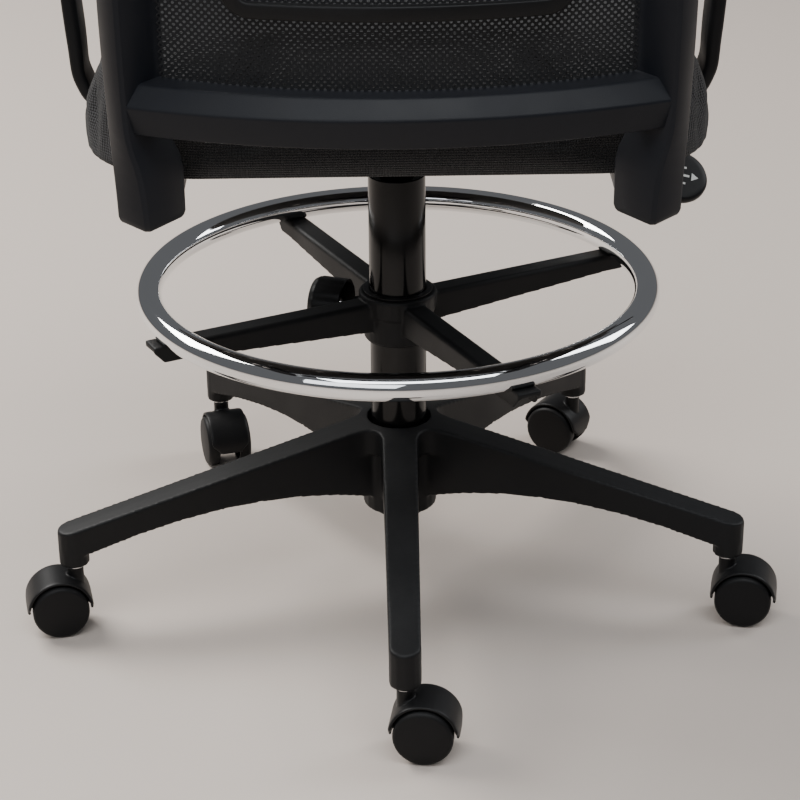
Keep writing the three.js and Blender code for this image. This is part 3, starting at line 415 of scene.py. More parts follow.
def metal(name, colour, roughness, metallic=1.0, specular=0.5, scratches=0.3, scale=60.0):
    material, tree, shader = newMaterial(name)
    scored = placed(tree, scratchGroup, Amount=scratches, Scale=scale)
    texture = placed(tree, grainGroup, Scale=260.0)
    shade = blended(tree, texture.outputs["Shine"], [c * 0.93 for c in colour], colour)
    rough = math2(tree, "ADD", math2(tree, "MULTIPLY", scored.outputs["Mask"], 0.35),
                  math2(tree, "MULTIPLY", texture.outputs["Shine"], roughness * 2))
    feed(tree, shader, {"Base Color": shade, "Roughness": rough, "Metallic": metallic,
                        "Specular IOR Level": specular})
    bump(tree, shader, scored.outputs["Mask"], 0.02 * mm, 0.4)
    return material


# Knit fabric whose hollows take a darker colour as painted shade.
def fabric(name, colour, pitch, depth, hollowShadeColour=(0.004, 0.004, 0.005)):
    material, tree, shader = newMaterial(name)
    knit = placed(tree, knitGroup, Pitch=pitch)
    texture = placed(tree, grainGroup, Scale=300.0)
    shade = blended(tree, texture.outputs["Shine"], [c * 0.8 for c in colour], colour)
    feed(tree, shader, {"Base Color": blended(tree, knit.outputs["HollowShade"], shade, hollowShadeColour),
                        "Roughness": 0.85, "Sheen Weight": 0.06, "Sheen Roughness": 0.5})
    bump(tree, shader, knit.outputs["Height"], depth * mm)
    return material


basePlastic = mouldedPlastic("baseNylon", (0.007, 0.0073, 0.008), 0.5, 700.0, 0.07, 0.4, 0.3)
framePlastic = mouldedPlastic("frameNylon", (0.008, 0.009, 0.012), 0.44, 1100.0, 0.05, 0.2, 0.35)
partPlastic = mouldedPlastic("partPlastic", (0.006, 0.006, 0.0065), 0.42, 1100.0, 0.04, 0.2, 0.25)
wheelPlastic = mouldedPlastic("wheelPlastic", (0.006, 0.006, 0.0065), 0.5, 900.0, 0.04, 0.35, 0.3)
hoodPlastic = mouldedPlastic("hoodPlastic", (0.007, 0.007, 0.0075), 0.4, 900.0, 0.04, 0.3, 0.3)
padPlastic = mouldedPlastic("padUrethane", (0.009, 0.009, 0.0095), 0.62, 500.0, 0.12, 0.2, 0.15)
rubber = mouldedPlastic("rubber", (0.01, 0.01, 0.01), 0.8, 600.0, 0.08, 0.3, 0.0)
columnPaint = metal("columnEnamel", (0.004, 0.004, 0.0042), 0.14, 0.0, 0.26, 0.2, 45.0)
plateCoat = mouldedPlastic("powderCoat", (0.010, 0.010, 0.011), 0.5, 500.0, 0.05, 0.2, 0.3)
chrome = metal("chromePlate", (0.88, 0.89, 0.90), 0.035, 1.0, 0.5, 0.12, 40.0)
steel = metal("plainSteel", (0.55, 0.55, 0.56), 0.16, 1.0, 0.5, 0.5, 90.0)
# the last colour of a fabric is the painted shade in the knit's hollows
seatFabric = fabric("seatKnit", (0.013, 0.013, 0.0145), 1500.0, 0.9, (0.002, 0.002, 0.0025))
netFabric = fabric("backNet", (0.007, 0.007, 0.0085), 3200.0, 0.12)
markPaint = mouldedPlastic("markPaint", (0.72, 0.72, 0.70), 0.5, 900.0, 0.02, 0.05, 0.2)
print("stage: materials ready")

# star base
baseLook = {"voxel": 1.5 * mm, "softRounds": 5}
starMesh = meldedMesh("starBase", cadCopy("star_base"), baseLook["voxel"],
                      baseLook["softRounds"])
piece("starBase", starMesh, "base", basePlastic, "star_base")
print("stage: star base")

# column
tubeLow, tubeTop = low("column_tube").z, high("column_tube").z
tubeRadius = high("column_tube").x
columnLook = {"wall": 2 * mm, "rim": 0.9 * mm, "taper": 1.8 * mm, "taperTop": 135 * mm,
              "floor": 3.5 * mm, "stemHole": 6 * mm}
tubeProfile = [
    (columnLook["stemHole"], tubeLow), (tubeRadius - columnLook["taper"], tubeLow),
    (tubeRadius, columnLook["taperTop"]), (tubeRadius, tubeTop),
    (tubeRadius - columnLook["wall"], tubeTop),
    (tubeRadius - columnLook["wall"], columnLook["taperTop"]),
    (tubeRadius - columnLook["wall"] - columnLook["taper"], tubeLow + columnLook["floor"]),
    (columnLook["stemHole"], tubeLow + columnLook["floor"])]
piece("columnTube", turnedMesh("columnTube", tubeProfile, columnLook["rim"], 96), "base",
      columnPaint, "column_tube")

bushLow, bushTop = low("column_bush").z, high("column_bush").z
bushOut, bushIn = high("column_bush").x, high("gas_cylinder").x + 0.4 * mm
bushProfile = [(bushIn, bushLow), (bushOut, bushLow), (bushOut, bushTop - 1.5 * mm),
               (bushOut - 2 * mm, bushTop), (bushIn + 2.5 * mm, bushTop),
               (bushIn + 1 * mm, bushTop - 1.2 * mm), (bushIn, bushTop - 3 * mm)]
piece("columnBush", turnedMesh("columnBush", bushProfile, 0.5 * mm), "base",
      partPlastic, "column_bush")

cylinderLow, cylinderTop = low("gas_cylinder").z, high("gas_cylinder").z
cylinderRadius = high("gas_cylinder").x
cylinderProfile = [
    (5.4 * mm, cylinderLow), (cylinderRadius, cylinderLow),
    (cylinderRadius, cylinderTop - 22 * mm), (cylinderRadius - 0.8 * mm, cylinderTop),
    (2.6 * mm, cylinderTop), (2.6 * mm, cylinderTop - 30 * mm),
    (10.8 * mm, cylinderTop - 34 * mm), (10.8 * mm, cylinderLow + 12 * mm),
    (5.4 * mm, cylinderLow + 12 * mm)]
piece("gasCylinder", turnedMesh("gasCylinder", cylinderProfile, 0.8 * mm, 64), "seat",
      columnPaint, "gas_cylinder")


def turnedPiece(name, cadNode, body, material, hole=0.0, edge=0.5 * mm):
    a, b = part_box(cadNode)
    radius = (b.x - a.x) / 2
    profile = [(hole, a.z), (radius, a.z), (radius, b.z), (hole, b.z)]
    piece(name, turnedMesh(name, profile, edge, 40), body, material, cadNode)


turnedPiece("releasePin", "release_pin", "valve_pin", steel)
turnedPiece("thrustBearing", "thrust_bearing", "base", steel, 5.4 * mm)
turnedPiece("bumper", "bumper", "base", rubber, 5.4 * mm, 2 * mm)
turnedPiece("retainingClip", "retaining_clip", "spindle", plateCoat, 5.3 * mm)
rodLow, rodTop = low("piston_rod").z, high("piston_rod").z
rodProfile = [(0, rodLow), (4.9 * mm, rodLow), (5 * mm, rodTop - 8 * mm),
              (10.5 * mm, rodTop - 8 * mm), (10.5 * mm, rodTop), (0, rodTop)]
piece("pistonRod", turnedMesh("pistonRod", rodProfile, 0.6 * mm, 40), "spindle", steel,
      "piston_rod")
print("stage: column")

# foot ring
ringLook = {"voxel": 1.1 * mm, "softRounds": 4, "around": 220, "tubeSides": 32}
ringLow, ringHigh = low("foot_ring"), high("foot_ring")
ringTube = (ringHigh.z - ringLow.z) / 2
ringRadius = ringHigh.x - ringTube
ringZ = (ringHigh.z + ringLow.z) / 2
tubeSection = [(ringRadius + ringTube * math.cos(a), ringZ + ringTube * math.sin(a))
               for a in (math.tau * k / ringLook["tubeSides"]
                         for k in range(ringLook["tubeSides"]))]
piece("footRing", latheMesh("footRing", tubeSection, ringLook["around"]), "foot_rest",
      chrome, "foot_ring")
hubMesh = meldedMesh("footRingHub", cadCopy("foot_ring_hub"), ringLook["voxel"],
                     ringLook["softRounds"])
piece("footRingHub", hubMesh, "foot_rest", basePlastic, "foot_ring_hub")

linerLow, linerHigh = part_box("foot_ring_bush")
linerIn = tubeRadius + 0.4 * mm
linerOut = linerIn + 3.3 * mm
linerProfile = [(linerIn, linerLow.z), (linerOut, linerLow.z), (linerOut, linerHigh.z - 1.8 * mm),
                (linerHigh.x, linerHigh.z - 1.8 * mm), (linerHigh.x, linerHigh.z),
                (linerIn, linerHigh.z)]
piece("footRingLiner", turnedMesh("footRingLiner", linerProfile, 0.5 * mm, 80), "ring_bush",
      partPlastic, "foot_ring_bush")

# screws that hold the ring down on its spokes
spokeLook = {"firstAngle": 26.2, "count": 4, "screwRadius": 4 * mm, "screwHeight": 2.6 * mm}
for i in range(spokeLook["count"]):
    angle = math.radians(spokeLook["firstAngle"] + 360 / spokeLook["count"] * i)
    profile = [(0, 0), (spokeLook["screwRadius"], 0),
               (spokeLook["screwRadius"] * 0.9, -spokeLook["screwHeight"]),
               (0, -spokeLook["screwHeight"])]
    mesh = turnedMesh(f"spokeScrew{i + 1}", profile, 0.8 * mm, 24)
    mesh.transform(Matrix.Translation((ringRadius * math.cos(angle), ringRadius * math.sin(angle),
                                       ringZ - ringTube - 2.4 * mm)))
    piece(f"spokeScrew{i + 1}", mesh, "foot_rest", steel)

# clamp along its own line out from the column
clampAxis = Vector(joints["clamp_turn"]["axis"])
clampZ = joints["clamp_turn"]["pos_m"][2]
clampFrame = clampAxis.to_track_quat("Z", "Y").to_matrix().to_4x4()
clampFrame.translation = Vector((0, 0, clampZ))


def reachAlong(cadNode):
    spots = [co.dot(clampAxis) for co in cadPoints(cadNode)]
    return min(spots), max(spots)


screwStart, screwEnd = reachAlong("clamp_screw")
threadLook = {"radius": 4 * mm, "pitch": 1.25 * mm, "depth": 0.65 * mm}
thread = [(0, screwStart)]
turns = int((screwEnd - screwStart) / threadLook["pitch"])
for k in range(turns):
    z = screwStart + k * threadLook["pitch"]
    thread.append((threadLook["radius"] - threadLook["depth"], z))
    thread.append((threadLook["radius"], z + threadLook["pitch"] / 2))
thread.append((0, screwEnd))
screwMesh = latheMesh("clampScrew", thread, 28)
screwMesh.transform(clampFrame)
piece("clampScrew", screwMesh, "clamp", steel, "clamp_screw")
padStart, padEnd = reachAlong("clamp_pad")
padRadius = 3.7 * mm
padMesh = turnedMesh("clampPad", [(0, padStart), (padRadius, padStart), (padRadius, padEnd),
                                  (0, padEnd)], 0.5 * mm, 28)
padMesh.transform(clampFrame)
piece("clampPad", padMesh, "clamp_shoe", partPlastic, "clamp_pad")

knobLook = {"lip": 2.6 * mm, "flutes": 10, "fluteDepth": 0.7 * mm}
knobStart, knobEnd = reachAlong("clamp_knob")
knobRadius = max((co - Vector((0, 0, clampZ)) - clampAxis * co.dot(clampAxis)).length
                 for co in cadPoints("clamp_knob"))
knobMesh = turnedMesh("clampKnob", [
    (0, screwEnd + 0.3 * mm), (4.3 * mm, screwEnd + 0.3 * mm), (4.3 * mm, knobStart + 6 * mm),
    (7 * mm, knobStart + 6 * mm), (7 * mm, knobEnd - 10 * mm),
    (knobRadius - 3 * mm, knobEnd - 10 * mm), (knobRadius - knobLook["lip"], knobStart),
    (knobRadius, knobStart), (knobRadius, knobEnd - 6 * mm),
    (knobRadius - 3 * mm, knobEnd - 1 * mm), (0, knobEnd)], 1 * mm, 108)
for vertex in knobMesh.vertices:
    out = math.hypot(vertex.co.x, vertex.co.y)
    if out > knobRadius - 1.2 * mm:
        wave = 0.5 - 0.5 * math.cos(knobLook["flutes"] * math.atan2(vertex.co.y, vertex.co.x))
        scale = 1 - knobLook["fluteDepth"] * (1 - wave) ** 3 / out
        vertex.co.x *= scale
        vertex.co.y *= scale
knobMesh.transform(clampFrame)
piece("clampKnob", knobMesh, "clamp", partPlastic, "clamp_knob")
print("stage: foot ring")

# casters
casterLook = {
    "count": 5, "trail": 16 * mm, "wheelRadius": 25 * mm, "wheelReach": 23 * mm,
    "hoodInner": 26.6 * mm, "hoodOuter": 29.3 * mm, "hoodHalf": 19 * mm, "lipHalf": 11 * mm,
    "neckRadius": 7.4 * mm, "neckTop": 60.7 * mm, "voxel": 0.85 * mm}
wheelR = casterLook["wheelRadius"]
reach = casterLook["wheelReach"]
wheelProfile = [
    (3.4 * mm, reach - 4.8 * mm), (3.4 * mm, 6.5 * mm), (7 * mm, 6.5 * mm),
    (7 * mm, reach - 6 * mm), (wheelR - 3.5 * mm, reach - 6 * mm),
    (wheelR - 3.5 * mm, 10.3 * mm), (wheelR, 10.3 * mm), (wheelR, reach - 5.4 * mm)]
for k in range(1, 9):
    a = math.radians(80 * k / 8)
    wheelProfile.append((wheelR - 3.6 * mm * (1 - math.cos(a)),
                         reach - 5.4 * mm + 4.2 * mm * math.sin(a)))
wheelProfile.append((wheelR * 0.6, reach - 0.35 * mm))
wheelProfile = [(0, reach - 4.8 * mm), *softCorners(wheelProfile, 0.5 * mm, 2, False), (0, reach)]
wheelMesh = latheMesh("wheel", wheelProfile, 72)


def hoodMesh():
    bm = bmesh.new()
    rings = []
    steps = 44
    inner, outer = casterLook["hoodInner"], casterLook["hoodOuter"]
    for k in range(steps + 1):
        angle = math.radians(mix(-7, 187, k / steps))
        fromEnd = min(k, steps - k) / steps * 194
        half = mix(casterLook["lipHalf"], casterLook["hoodHalf"], smoothStep(fromEnd / 22))
        section = softCorners([(inner, -half), (outer - 0.4 * mm, -half), (outer, -half + 3 * mm),
                               (outer, half - 3 * mm), (outer - 0.4 * mm, half), (inner, half)],
                              1.2 * mm)
        rings.append([(casterLook["trail"] + r * math.cos(angle), y,
                       wheelR + r * math.sin(angle)) for r, y in section])
    addLoft(bm, rings)
    disc = [(casterLook["trail"] + (outer - 1.2 * mm) * math.cos(math.radians(a)),
             wheelR + (outer - 1.2 * mm) * math.sin(math.radians(a)))
            for a in range(-4, 185, 4)]
    addLoft(bm, [[(x, y, z) for x, z in disc] for y in (-2.5 * mm, 2.5 * mm)])
    for middle, radius, ends, isUpright in (
            (Vector((casterLook["trail"], 0, wheelR)), 6.2 * mm, (-4.8 * mm, 4.8 * mm), False),
            (Vector((0, 0, 0)), casterLook["neckRadius"], (33 * mm, casterLook["neckTop"]), True)):
        rings = []
        for end in ends:
            ring = [(radius * math.cos(a), radius * math.sin(a), end)
                    for a in (math.tau * k / 32 for k in range(32))]
            if not isUpright:
                ring = [(x, z, y) for x, y, z in ring]
            rings.append([middle + Vector(p) for p in ring])
        addLoft(bm, rings)
    return meldedMesh("casterHood", bm, casterLook["voxel"], 3)


hoodShape = hoodMesh()
stemLow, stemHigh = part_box("caster_stem_1")
stemProfile = [(0, stemLow.z), (5.5 * mm, stemLow.z), (5.5 * mm, 61 * mm), (8.4 * mm, 61 * mm),
               (8.4 * mm, 63.7 * mm), (5.5 * mm, 63.7 * mm), (5.5 * mm, stemHigh.z),
               (0, stemHigh.z)]
stemShape = turnedMesh("casterStem", stemProfile, 0.5 * mm, 40)
axleHalf, axleRadius = 17.5 * mm, 3 * mm
axleShape = turnedMesh("casterAxle", [(0, -axleHalf), (axleRadius, -axleHalf),
                                      (axleRadius, axleHalf), (0, axleHalf)], 0.6 * mm, 28)
atAxle = Matrix.Translation((casterLook["trail"], 0, wheelR))
alongY = Matrix.Rotation(-math.pi / 2, 4, "X")
for i in range(1, casterLook["count"] + 1):
    swivel = joints[f"caster_swivel_{i}"]["pos_m"]
    axle = joints[f"left_wheel_turn_{i}"]
    outward = Vector(axle["pos_m"]) - Vector(swivel)
    heading = math.atan2(outward.y, outward.x)
    stemPlace = Matrix.Translation((swivel[0], swivel[1], 0)) @ Matrix.Rotation(heading, 4, "Z")
    for label, shape, local, body, slotName, material, cadNode in (
            ("casterHood", hoodShape, Matrix.Identity(4), f"caster_{i}", "caster_plastic",
             hoodPlastic, "caster_hood"),
            ("casterStem", stemShape, Matrix.Identity(4), "base", "steel", steel, "caster_stem"),
            ("casterAxle", axleShape, atAxle @ alongY, f"caster_{i}", "steel", steel,
             "caster_axle"),
            ("wheelRight", wheelMesh, atAxle @ alongY, f"right_wheel_{i}", "caster_plastic",
             wheelPlastic, "wheel_right"),
            ("wheelLeft", wheelMesh, atAxle @ Matrix.Rotation(math.pi, 4, "Z") @ alongY,
             f"left_wheel_{i}", "caster_plastic", wheelPlastic, "wheel_left")):
        mesh = shape.copy()
        mesh.transform(stemPlace @ local)
        piece(f"{label}{i}", mesh, body, material, f"{cadNode}_{i}")
print("stage: casters")

# seat mechanism
cadPiece("seatPlate", "seat_plate", "seat", plateCoat, 0.5 * mm)
cadPiece("leverPivot", "lever_pivot", "seat", steel, 0.4 * mm)
for i in range(1, 5):
    cadPiece(f"seatBolt{i}", f"seat_bolt_{i}", "seat", steel, 0.4 * mm)

leverLook = {"rodRadius": 4 * mm, "bladeRadius": 25 * mm,
             "bladeHalf": 4.5 * mm, "tilt": 38, "lean": 14}
pivot = Vector(joints["lever_lift"]["pos_m"])
drop = pivot.z - low("lever_rod").z - leverLook["rodRadius"]
leverReach = high("lever_rod").x - 1 * mm
rodPath = smoothPath([
    pivot + Vector((12 * mm, 0, 0)), pivot + Vector((45 * mm, 0, -2 * mm)),
    Vector((mix(pivot.x, leverReach, 0.45), 0, pivot.z - drop * 0.42)),
    Vector((mix(pivot.x, leverReach, 0.8), 0, pivot.z - drop * 0.84)),
    Vector((leverReach, 0, pivot.z - drop))], 9)
bm = bmesh.new()
addLoft(bm, tubeRings(rodPath, leverLook["rodRadius"], 20))
pinTop = high("release_pin").z
crank = [(-5 * mm, pinTop + 0.4 * mm), (5 * mm, pinTop + 0.4 * mm), (pivot.x, pivot.z - 6 * mm),
         (pivot.x + 20 * mm, pivot.z - 5 * mm), (pivot.x + 20 * mm, pivot.z + 5 * mm),
         (pivot.x, pivot.z + 6 * mm), (-5 * mm, pinTop + 5 * mm)]
crank = softCorners(crank, 1.5 * mm)
addLoft(bm, [[(x, y, z) for x, z in crank] for y in (-3 * mm, 3 * mm)])
piece("leverRod", tidyMesh(bm, "leverRod"), "lever", plateCoat, "lever_rod")

bladeOutline = [(-16 * mm, -5 * mm), (-16 * mm, 5 * mm)]
for k in range(25):
    a = math.radians(118 - 236 * k / 24)
    bladeOutline.append((20 * mm + leverLook["bladeRadius"] * math.cos(a),
                         leverLook["bladeRadius"] * math.sin(a)))
bladeOutline = softCorners(bladeOutline, 3 * mm, 2)
bladeMiddle = Vector((14 * mm, 0, 0))
bladePlace = (Matrix.Translation((leverReach + 4 * mm, 0, pivot.z - drop - 2 * mm))
              @ Matrix.Rotation(math.radians(leverLook["lean"]), 4, "Y")
              @ Matrix.Rotation(math.radians(leverLook["tilt"]), 4, "X"))
rings = []
for height, share in ((-1, 0.9), (-0.8, 0.965), (-0.35, 1.0), (0.35, 1.0), (0.75, 0.97),
                      (0.95, 0.9), (1.0, 0.78)):
    rings.append([bladePlace @ (bladeMiddle + (Vector((x, y, 0)) - bladeMiddle) * share
                                + Vector((0, 0, height * leverLook["bladeHalf"])))
                  for x, y in bladeOutline])
piece("leverPaddle", loftMesh("leverPaddle", rings, 50), "lever",
      partPlastic, "lever_paddle")
marks = [
    [(30, -4), (36, 0), (30, 4)], [(12, 4), (6, 0), (12, -4)],
    [(14, -1.1), (28, -1.1), (28, 1.1), (14, 1.1)],
    [(17, 7), (25, 7), (25, 9), (17, 9)], [(17, -9), (25, -9), (25, -7), (17, -7)]]
bm = bmesh.new()
for outline in marks:
    addLoft(bm, [[bladePlace @ Vector((x * mm, y * mm, h)) for x, y in outline]
                 for h in (leverLook["bladeHalf"] - 0.2 * mm, leverLook["bladeHalf"] + 0.12 * mm)])
piece("leverMarks", tidyMesh(bm, "leverMarks"), "lever", markPaint)
print("stage: mechanism")

# seat
seatLook = {"corner": 100 * mm, "voxel": 6 * mm, "pressure": 3.5, "cap": 24 * mm,
            "shrink": 9 * mm, "skirt": 1.2 * mm, "rearTaper": 0.05, "seam": 3 * mm,
            "seamHalf": 7 * mm, "seamHeight": 0.9, "seamFrom": 0.8, "fill": 0.75,
            "room": (2 * mm, 6 * mm, 8 * mm)}
cushionLow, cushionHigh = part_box("seat_cushion")
seatHalf = cushionHigh.x
seatMiddle = (cushionLow.y + cushionHigh.y) / 2
seatHalfDepth = (cushionHigh.y - cushionLow.y) / 2


def seatOutline(inset):
    halfX, halfY = seatHalf - inset, seatHalfDepth - inset
    radius = min(max(8 * mm, seatLook["corner"] - inset), halfX, halfY)
    return [(x * (1 - seatLook["rearTaper"] * (y / halfY) ** 4 if y < 0 else 1), y + seatMiddle)
            for x, y in roundedBox(halfX, halfY, radius, 12)]


panLow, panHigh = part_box("seat_pan")
rings = []
for z, inset in ((panLow.z, 34), (panLow.z, 30), (panLow.z + 1.5 * mm, 26),
                 (panLow.z + 4 * mm, 24), (panHigh.z, 24), (panHigh.z, 28)):
    rings.append([(x, y, z) for x, y in seatOutline(inset * mm)])
piece("seatPan", loftMesh("seatPan", rings), "seat", partPlastic, "seat_pan")

levels = ((0.0, 17), (0.03, 11), (0.1, 6), (0.22, 2.5), (0.44, 0), (0.6, 1.2), (0.73, 4),
          (0.84, 9.5), (0.92, 18), (0.97, 31), (1.0, 54), (1.0, 120))
bottomZ = panLow.z + seatLook["skirt"]
rings = [[(x, y, mix(bottomZ, cushionHigh.z - 3 * mm, t))
          for x, y in seatOutline(inset * mm + seatLook["shrink"] * smoothStep(t * 6))]
         for t, inset in levels]
cushion = piece("seatCushion", loftMesh("seatCushion", rings), "seat", seatFabric,
                "seat_cushion")
remesh = cushion.modifiers.new("remesh", "REMESH")
remesh.mode = "VOXEL"
remesh.voxel_size = seatLook["voxel"]
settled(cushion)
rest = [v.co.copy() for v in cushion.data.vertices]
held = cushion.vertex_groups.new(name="held")
held.add([v.index for v in cushion.data.vertices if v.co.z < bottomZ + 5 * mm], 1.0, "REPLACE")
cloth = cushion.modifiers.new("cloth", "CLOTH")
cloth.settings.use_pressure = True
cloth.settings.uniform_pressure_force = seatLook["pressure"]
cloth.settings.effector_weights.gravity = 0
cloth.settings.vertex_group_mass = "held"
cloth.settings.quality = 5
cloth.point_cache.frame_start, cloth.point_cache.frame_end = 1, 20
for frameNumber in range(1, 21):
    scene.frame_set(frameNumber)
settled(cushion)
scene.frame_set(1)
for vertex, was in zip(cushion.data.vertices, rest):
    moved = vertex.co - was
    if moved.length > seatLook["cap"]:
        vertex.co = was + moved.normalized() * seatLook["cap"]
seamZ = mix(bottomZ, cushionHigh.z, seatLook["seamHeight"])
roomX, roomY, roomZ = seatLook["room"]  # how far the puffed cover may pass the frame's box
for vertex in cushion.data.vertices:
    co = vertex.co
    co.z = min(max(co.z, bottomZ), cushionHigh.z + roomZ)
    co.x = min(max(co.x, -seatHalf - roomX), seatHalf + roomX)
    co.y = min(max(co.y, cushionLow.y - roomY), cushionHigh.y + roomY)
    side = max(abs(co.x) / seatHalf, abs(co.y - seatMiddle) / seatHalfDepth)
    if side > seatLook["seamFrom"]:
        near = max(0.0, 1 - abs(co.z - seamZ) / seatLook["seamHalf"])
        co += (Vector((0, seatMiddle, co.z)) - co).normalized() * near * near * seatLook["seam"]
divide = cushion.modifiers.new("divide", "SUBSURF")
divide.levels = divide.render_levels = 1
settled(cushion)
cushion.data.shade_smooth()
cushion.data.materials.clear()
cushion.data.materials.append(seatFabric)
print("stage: seat")

# back frame
backLook = {
    "ridgeOut": 0.32, "ridgeIn": 0.41, "ridgeDepth": 24 * mm,
    "inner": 173 * mm, "corner": 70 * mm, "railWidth": 26 * mm, "topBow": 16 * mm,
    "heelTaper": 4 * mm, "heelDrift": 0.3}
rightLow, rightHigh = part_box("upright_right")
backOuter = rightHigh.x
backTop = high("back_top_rail").z
barLow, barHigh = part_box("back_crossbar")
heelInner = rightLow.x
barZ = min((co.y, co.z) for co in cadPoints("back_crossbar"))[1]
cornerZ = backTop - backLook["corner"]
leanLine = sorted({(round(co.z, 5), round(co.y, 5)) for co in cadPoints("upright_right")
                   if co.x > backOuter - 0.2 * mm})
leanLine.append((backTop, low("back_top_rail").y + backLook["ridgeDepth"] + backLook["topBow"]))


def backLean(z):
    if z <= leanLine[0][0]:
        return leanLine[0][1]
    for i in range(len(leanLine) - 1):
        (z0, y0), (z1, y1) = leanLine[i], leanLine[i + 1]
        if z <= z1:
            zBefore, yBefore = leanLine[max(i - 1, 0)]
            zAfter, yAfter = leanLine[min(i + 2, len(leanLine) - 1)]
            slope0 = (y1 - yBefore) / (z1 - zBefore)
            slope1 = (yAfter - y0) / (zAfter - z0)
            span, t = z1 - z0, (z - z0) / (z1 - z0)
            return (y0 * (2 * t ** 3 - 3 * t ** 2 + 1) + y1 * (3 * t ** 2 - 2 * t ** 3)
                    + slope0 * span * (t ** 3 - 2 * t ** 2 + t)
                    + slope1 * span * (t ** 3 - t ** 2))
    return leanLine[-1][1]


barBow = backLean(barZ) - backLook["ridgeDepth"] - barLow.y


def bowAt(z):
    return mix(barBow, backLook["topBow"],
               min(1, max(0, (z - barZ) / (cornerZ - barZ))))


def innerAt(z):
    flare = smoothStep((z - (barLow.z - 34 * mm)) / (34 * mm))
    return mix(heelInner, backLook["inner"], flare)


frameSection = softCorners(
    [(0, 0), (backLook["ridgeOut"], -24), (backLook["ridgeIn"], -24), (1, 11), (0.92, 17),
     (0.14, 12)], 1.6, 3)


def outerAt(z):
    return backOuter - backLook["heelTaper"] * (1 - smoothStep((z - heelZ) / (170 * mm)))


def frameRing(outPoint, inPoint, shrink=0.0):
    ring = []
    drift = 1 - backLook["heelDrift"] * (1 - smoothStep((outPoint[1] - heelZ) / (barZ - heelZ)))
    for share, depth in frameSection:
        t = max(0.0, share) ** drift
        x, z = mix(outPoint[0], inPoint[0], t), mix(outPoint[1], inPoint[1], t)
        over = max(0, z - cornerZ) / backLook["corner"]
        bow = bowAt(z) * (1 - min(1, abs(x) / backOuter) ** 2) * over
        y = backLean(z) + depth * mm * (1 - shrink) - bow
        ring.append(Vector((x, y, z)))
    return ring


heelZ = rightLow.z
stations = []
climb = [heelZ, heelZ + 0.6 * mm, heelZ + 2 * mm, heelZ + 5 * mm]
climb += [mix(heelZ + 5 * mm, cornerZ, k / 46) for k in range(1, 47)]
for z in climb:
    rounding = max(0.0, 1 - (z - heelZ) / (5 * mm)) ** 2 * 3 * mm
    stations.append(((outerAt(z) - rounding, z), (innerAt(z) + rounding, z),
                     rounding / (3 * mm) * 0.1))
cornerOut = backLook["corner"]
cornerIn = cornerOut - backLook["railWidth"]
outMiddle, inMiddle = backOuter - cornerOut, backLook["inner"] - cornerIn
for k in range(1, 15):
    a = math.radians(90 * k / 14)
    stations.append(((outMiddle + cornerOut * math.cos(a), cornerZ + cornerOut * math.sin(a)),
                     (inMiddle + cornerIn * math.cos(a), cornerZ + cornerIn * math.sin(a)), 0))
acrossSteps = 16
for k in range(1, acrossSteps):
    t = mix(1, 0, k / acrossSteps)
    stations.append(((outMiddle * t, backTop), (inMiddle * t, backTop - backLook["railWidth"]), 0))
rightRings = [frameRing(*station) for station in stations]
middleRing = frameRing((0, backTop), (0, backTop - backLook["railWidth"]))
leftRings = [[Vector((-p.x, p.y, p.z)) for p in ring] for ring in rightRings]
piece("backFrame", loftMesh("backFrame", rightRings + [middleRing] + leftRings[::-1], 60),
      "seat", framePlastic, ("upright_left", "upright_right", "back_top_rail"))


def innerFaceX(depth):
    width = backOuter - backLook["inner"]
    ridge = backOuter - backLook["ridgeIn"] * width
    return mix(ridge, backLook["inner"], (depth + 24) / 35)


barRise, barFall = (barHigh.z - barZ) / mm, (barZ - barLow.z) / mm
barSection = softCorners([(-24, 0), (-12, barRise), (8, barRise), (8, 3 - barFall),
                          (-19, -barFall)], 2.0, 4)
rings = []
for k in range(61):
    t = mix(-1, 1, k / 60)
    rings.append([Vector((t * (innerFaceX(d) - 0.2 * mm),
                          backLean(barZ) + d * mm - barBow * (1 - t * t),
                          barZ + rise * mm))
                  for d, rise in barSection])
piece("backCrossbar", loftMesh("backCrossbar", rings, 60), "seat",
      framePlastic, "back_crossbar")

# brackets from the uprights to the seat pan, with their bolts
for side, label in ((1, "Right"), (-1, "Left")):
    near, far = heelInner + 5 * mm, backOuter - 9 * mm
    yNear, yFar = backLean(heelZ) + 6 * mm, rightHigh.y
    size = (far - near, yFar - yNear, panLow.z - 0.4 * mm - heelZ)
    centre = (side * (near + far) / 2, (yNear + yFar) / 2, (panLow.z - 0.4 * mm + heelZ) / 2)
    piece(f"backFoot{label}", blockMesh(f"backFoot{label}", size, centre, 2 * mm), "seat",
          framePlastic)
    for k in range(2):
        name = f"footBolt{label}{k + 1}"
        mesh = boltMesh(name, 7 * mm, 5 * mm, 4.5 * mm,
                        (centre[0], yFar - (18 + 34 * k) * mm, heelZ))
        piece(name, mesh, "seat", steel)
print("stage: back frame")

# stretched net
netLook = {"across": 5.35 * mm, "rows": 2.75 * mm, "hole": 1.22 * mm, "sink": 0.35 * mm,
           "squash": 0.9, "depth": 4 * mm, "tuck": 5 * mm, "bowShare": 1.04}


def netHalf(z):
    radius = cornerIn + netLook["tuck"]
    over = min(radius, max(0.0, z - cornerZ))
    return backLook["inner"] - cornerIn + math.sqrt(radius ** 2 - over ** 2)


def netY(x, z):
    t = min(1, abs(x) / (backLook["inner"]))
    return backLean(z) + netLook["depth"] - bowAt(z) * (1 - t * t)


netBottom = barHigh.z - 5 * mm
netTop = backTop - backLook["railWidth"] + 6 * mm
points, faces, known = [], [], {}


def netPoint(x, z, depth=0.0):
    key = (round(x / mm * 50), round(z / mm * 50), depth)
    if key not in known:
        known[key] = len(points)
        points.append((x, netY(x, z) - depth, z))
    return known[key]


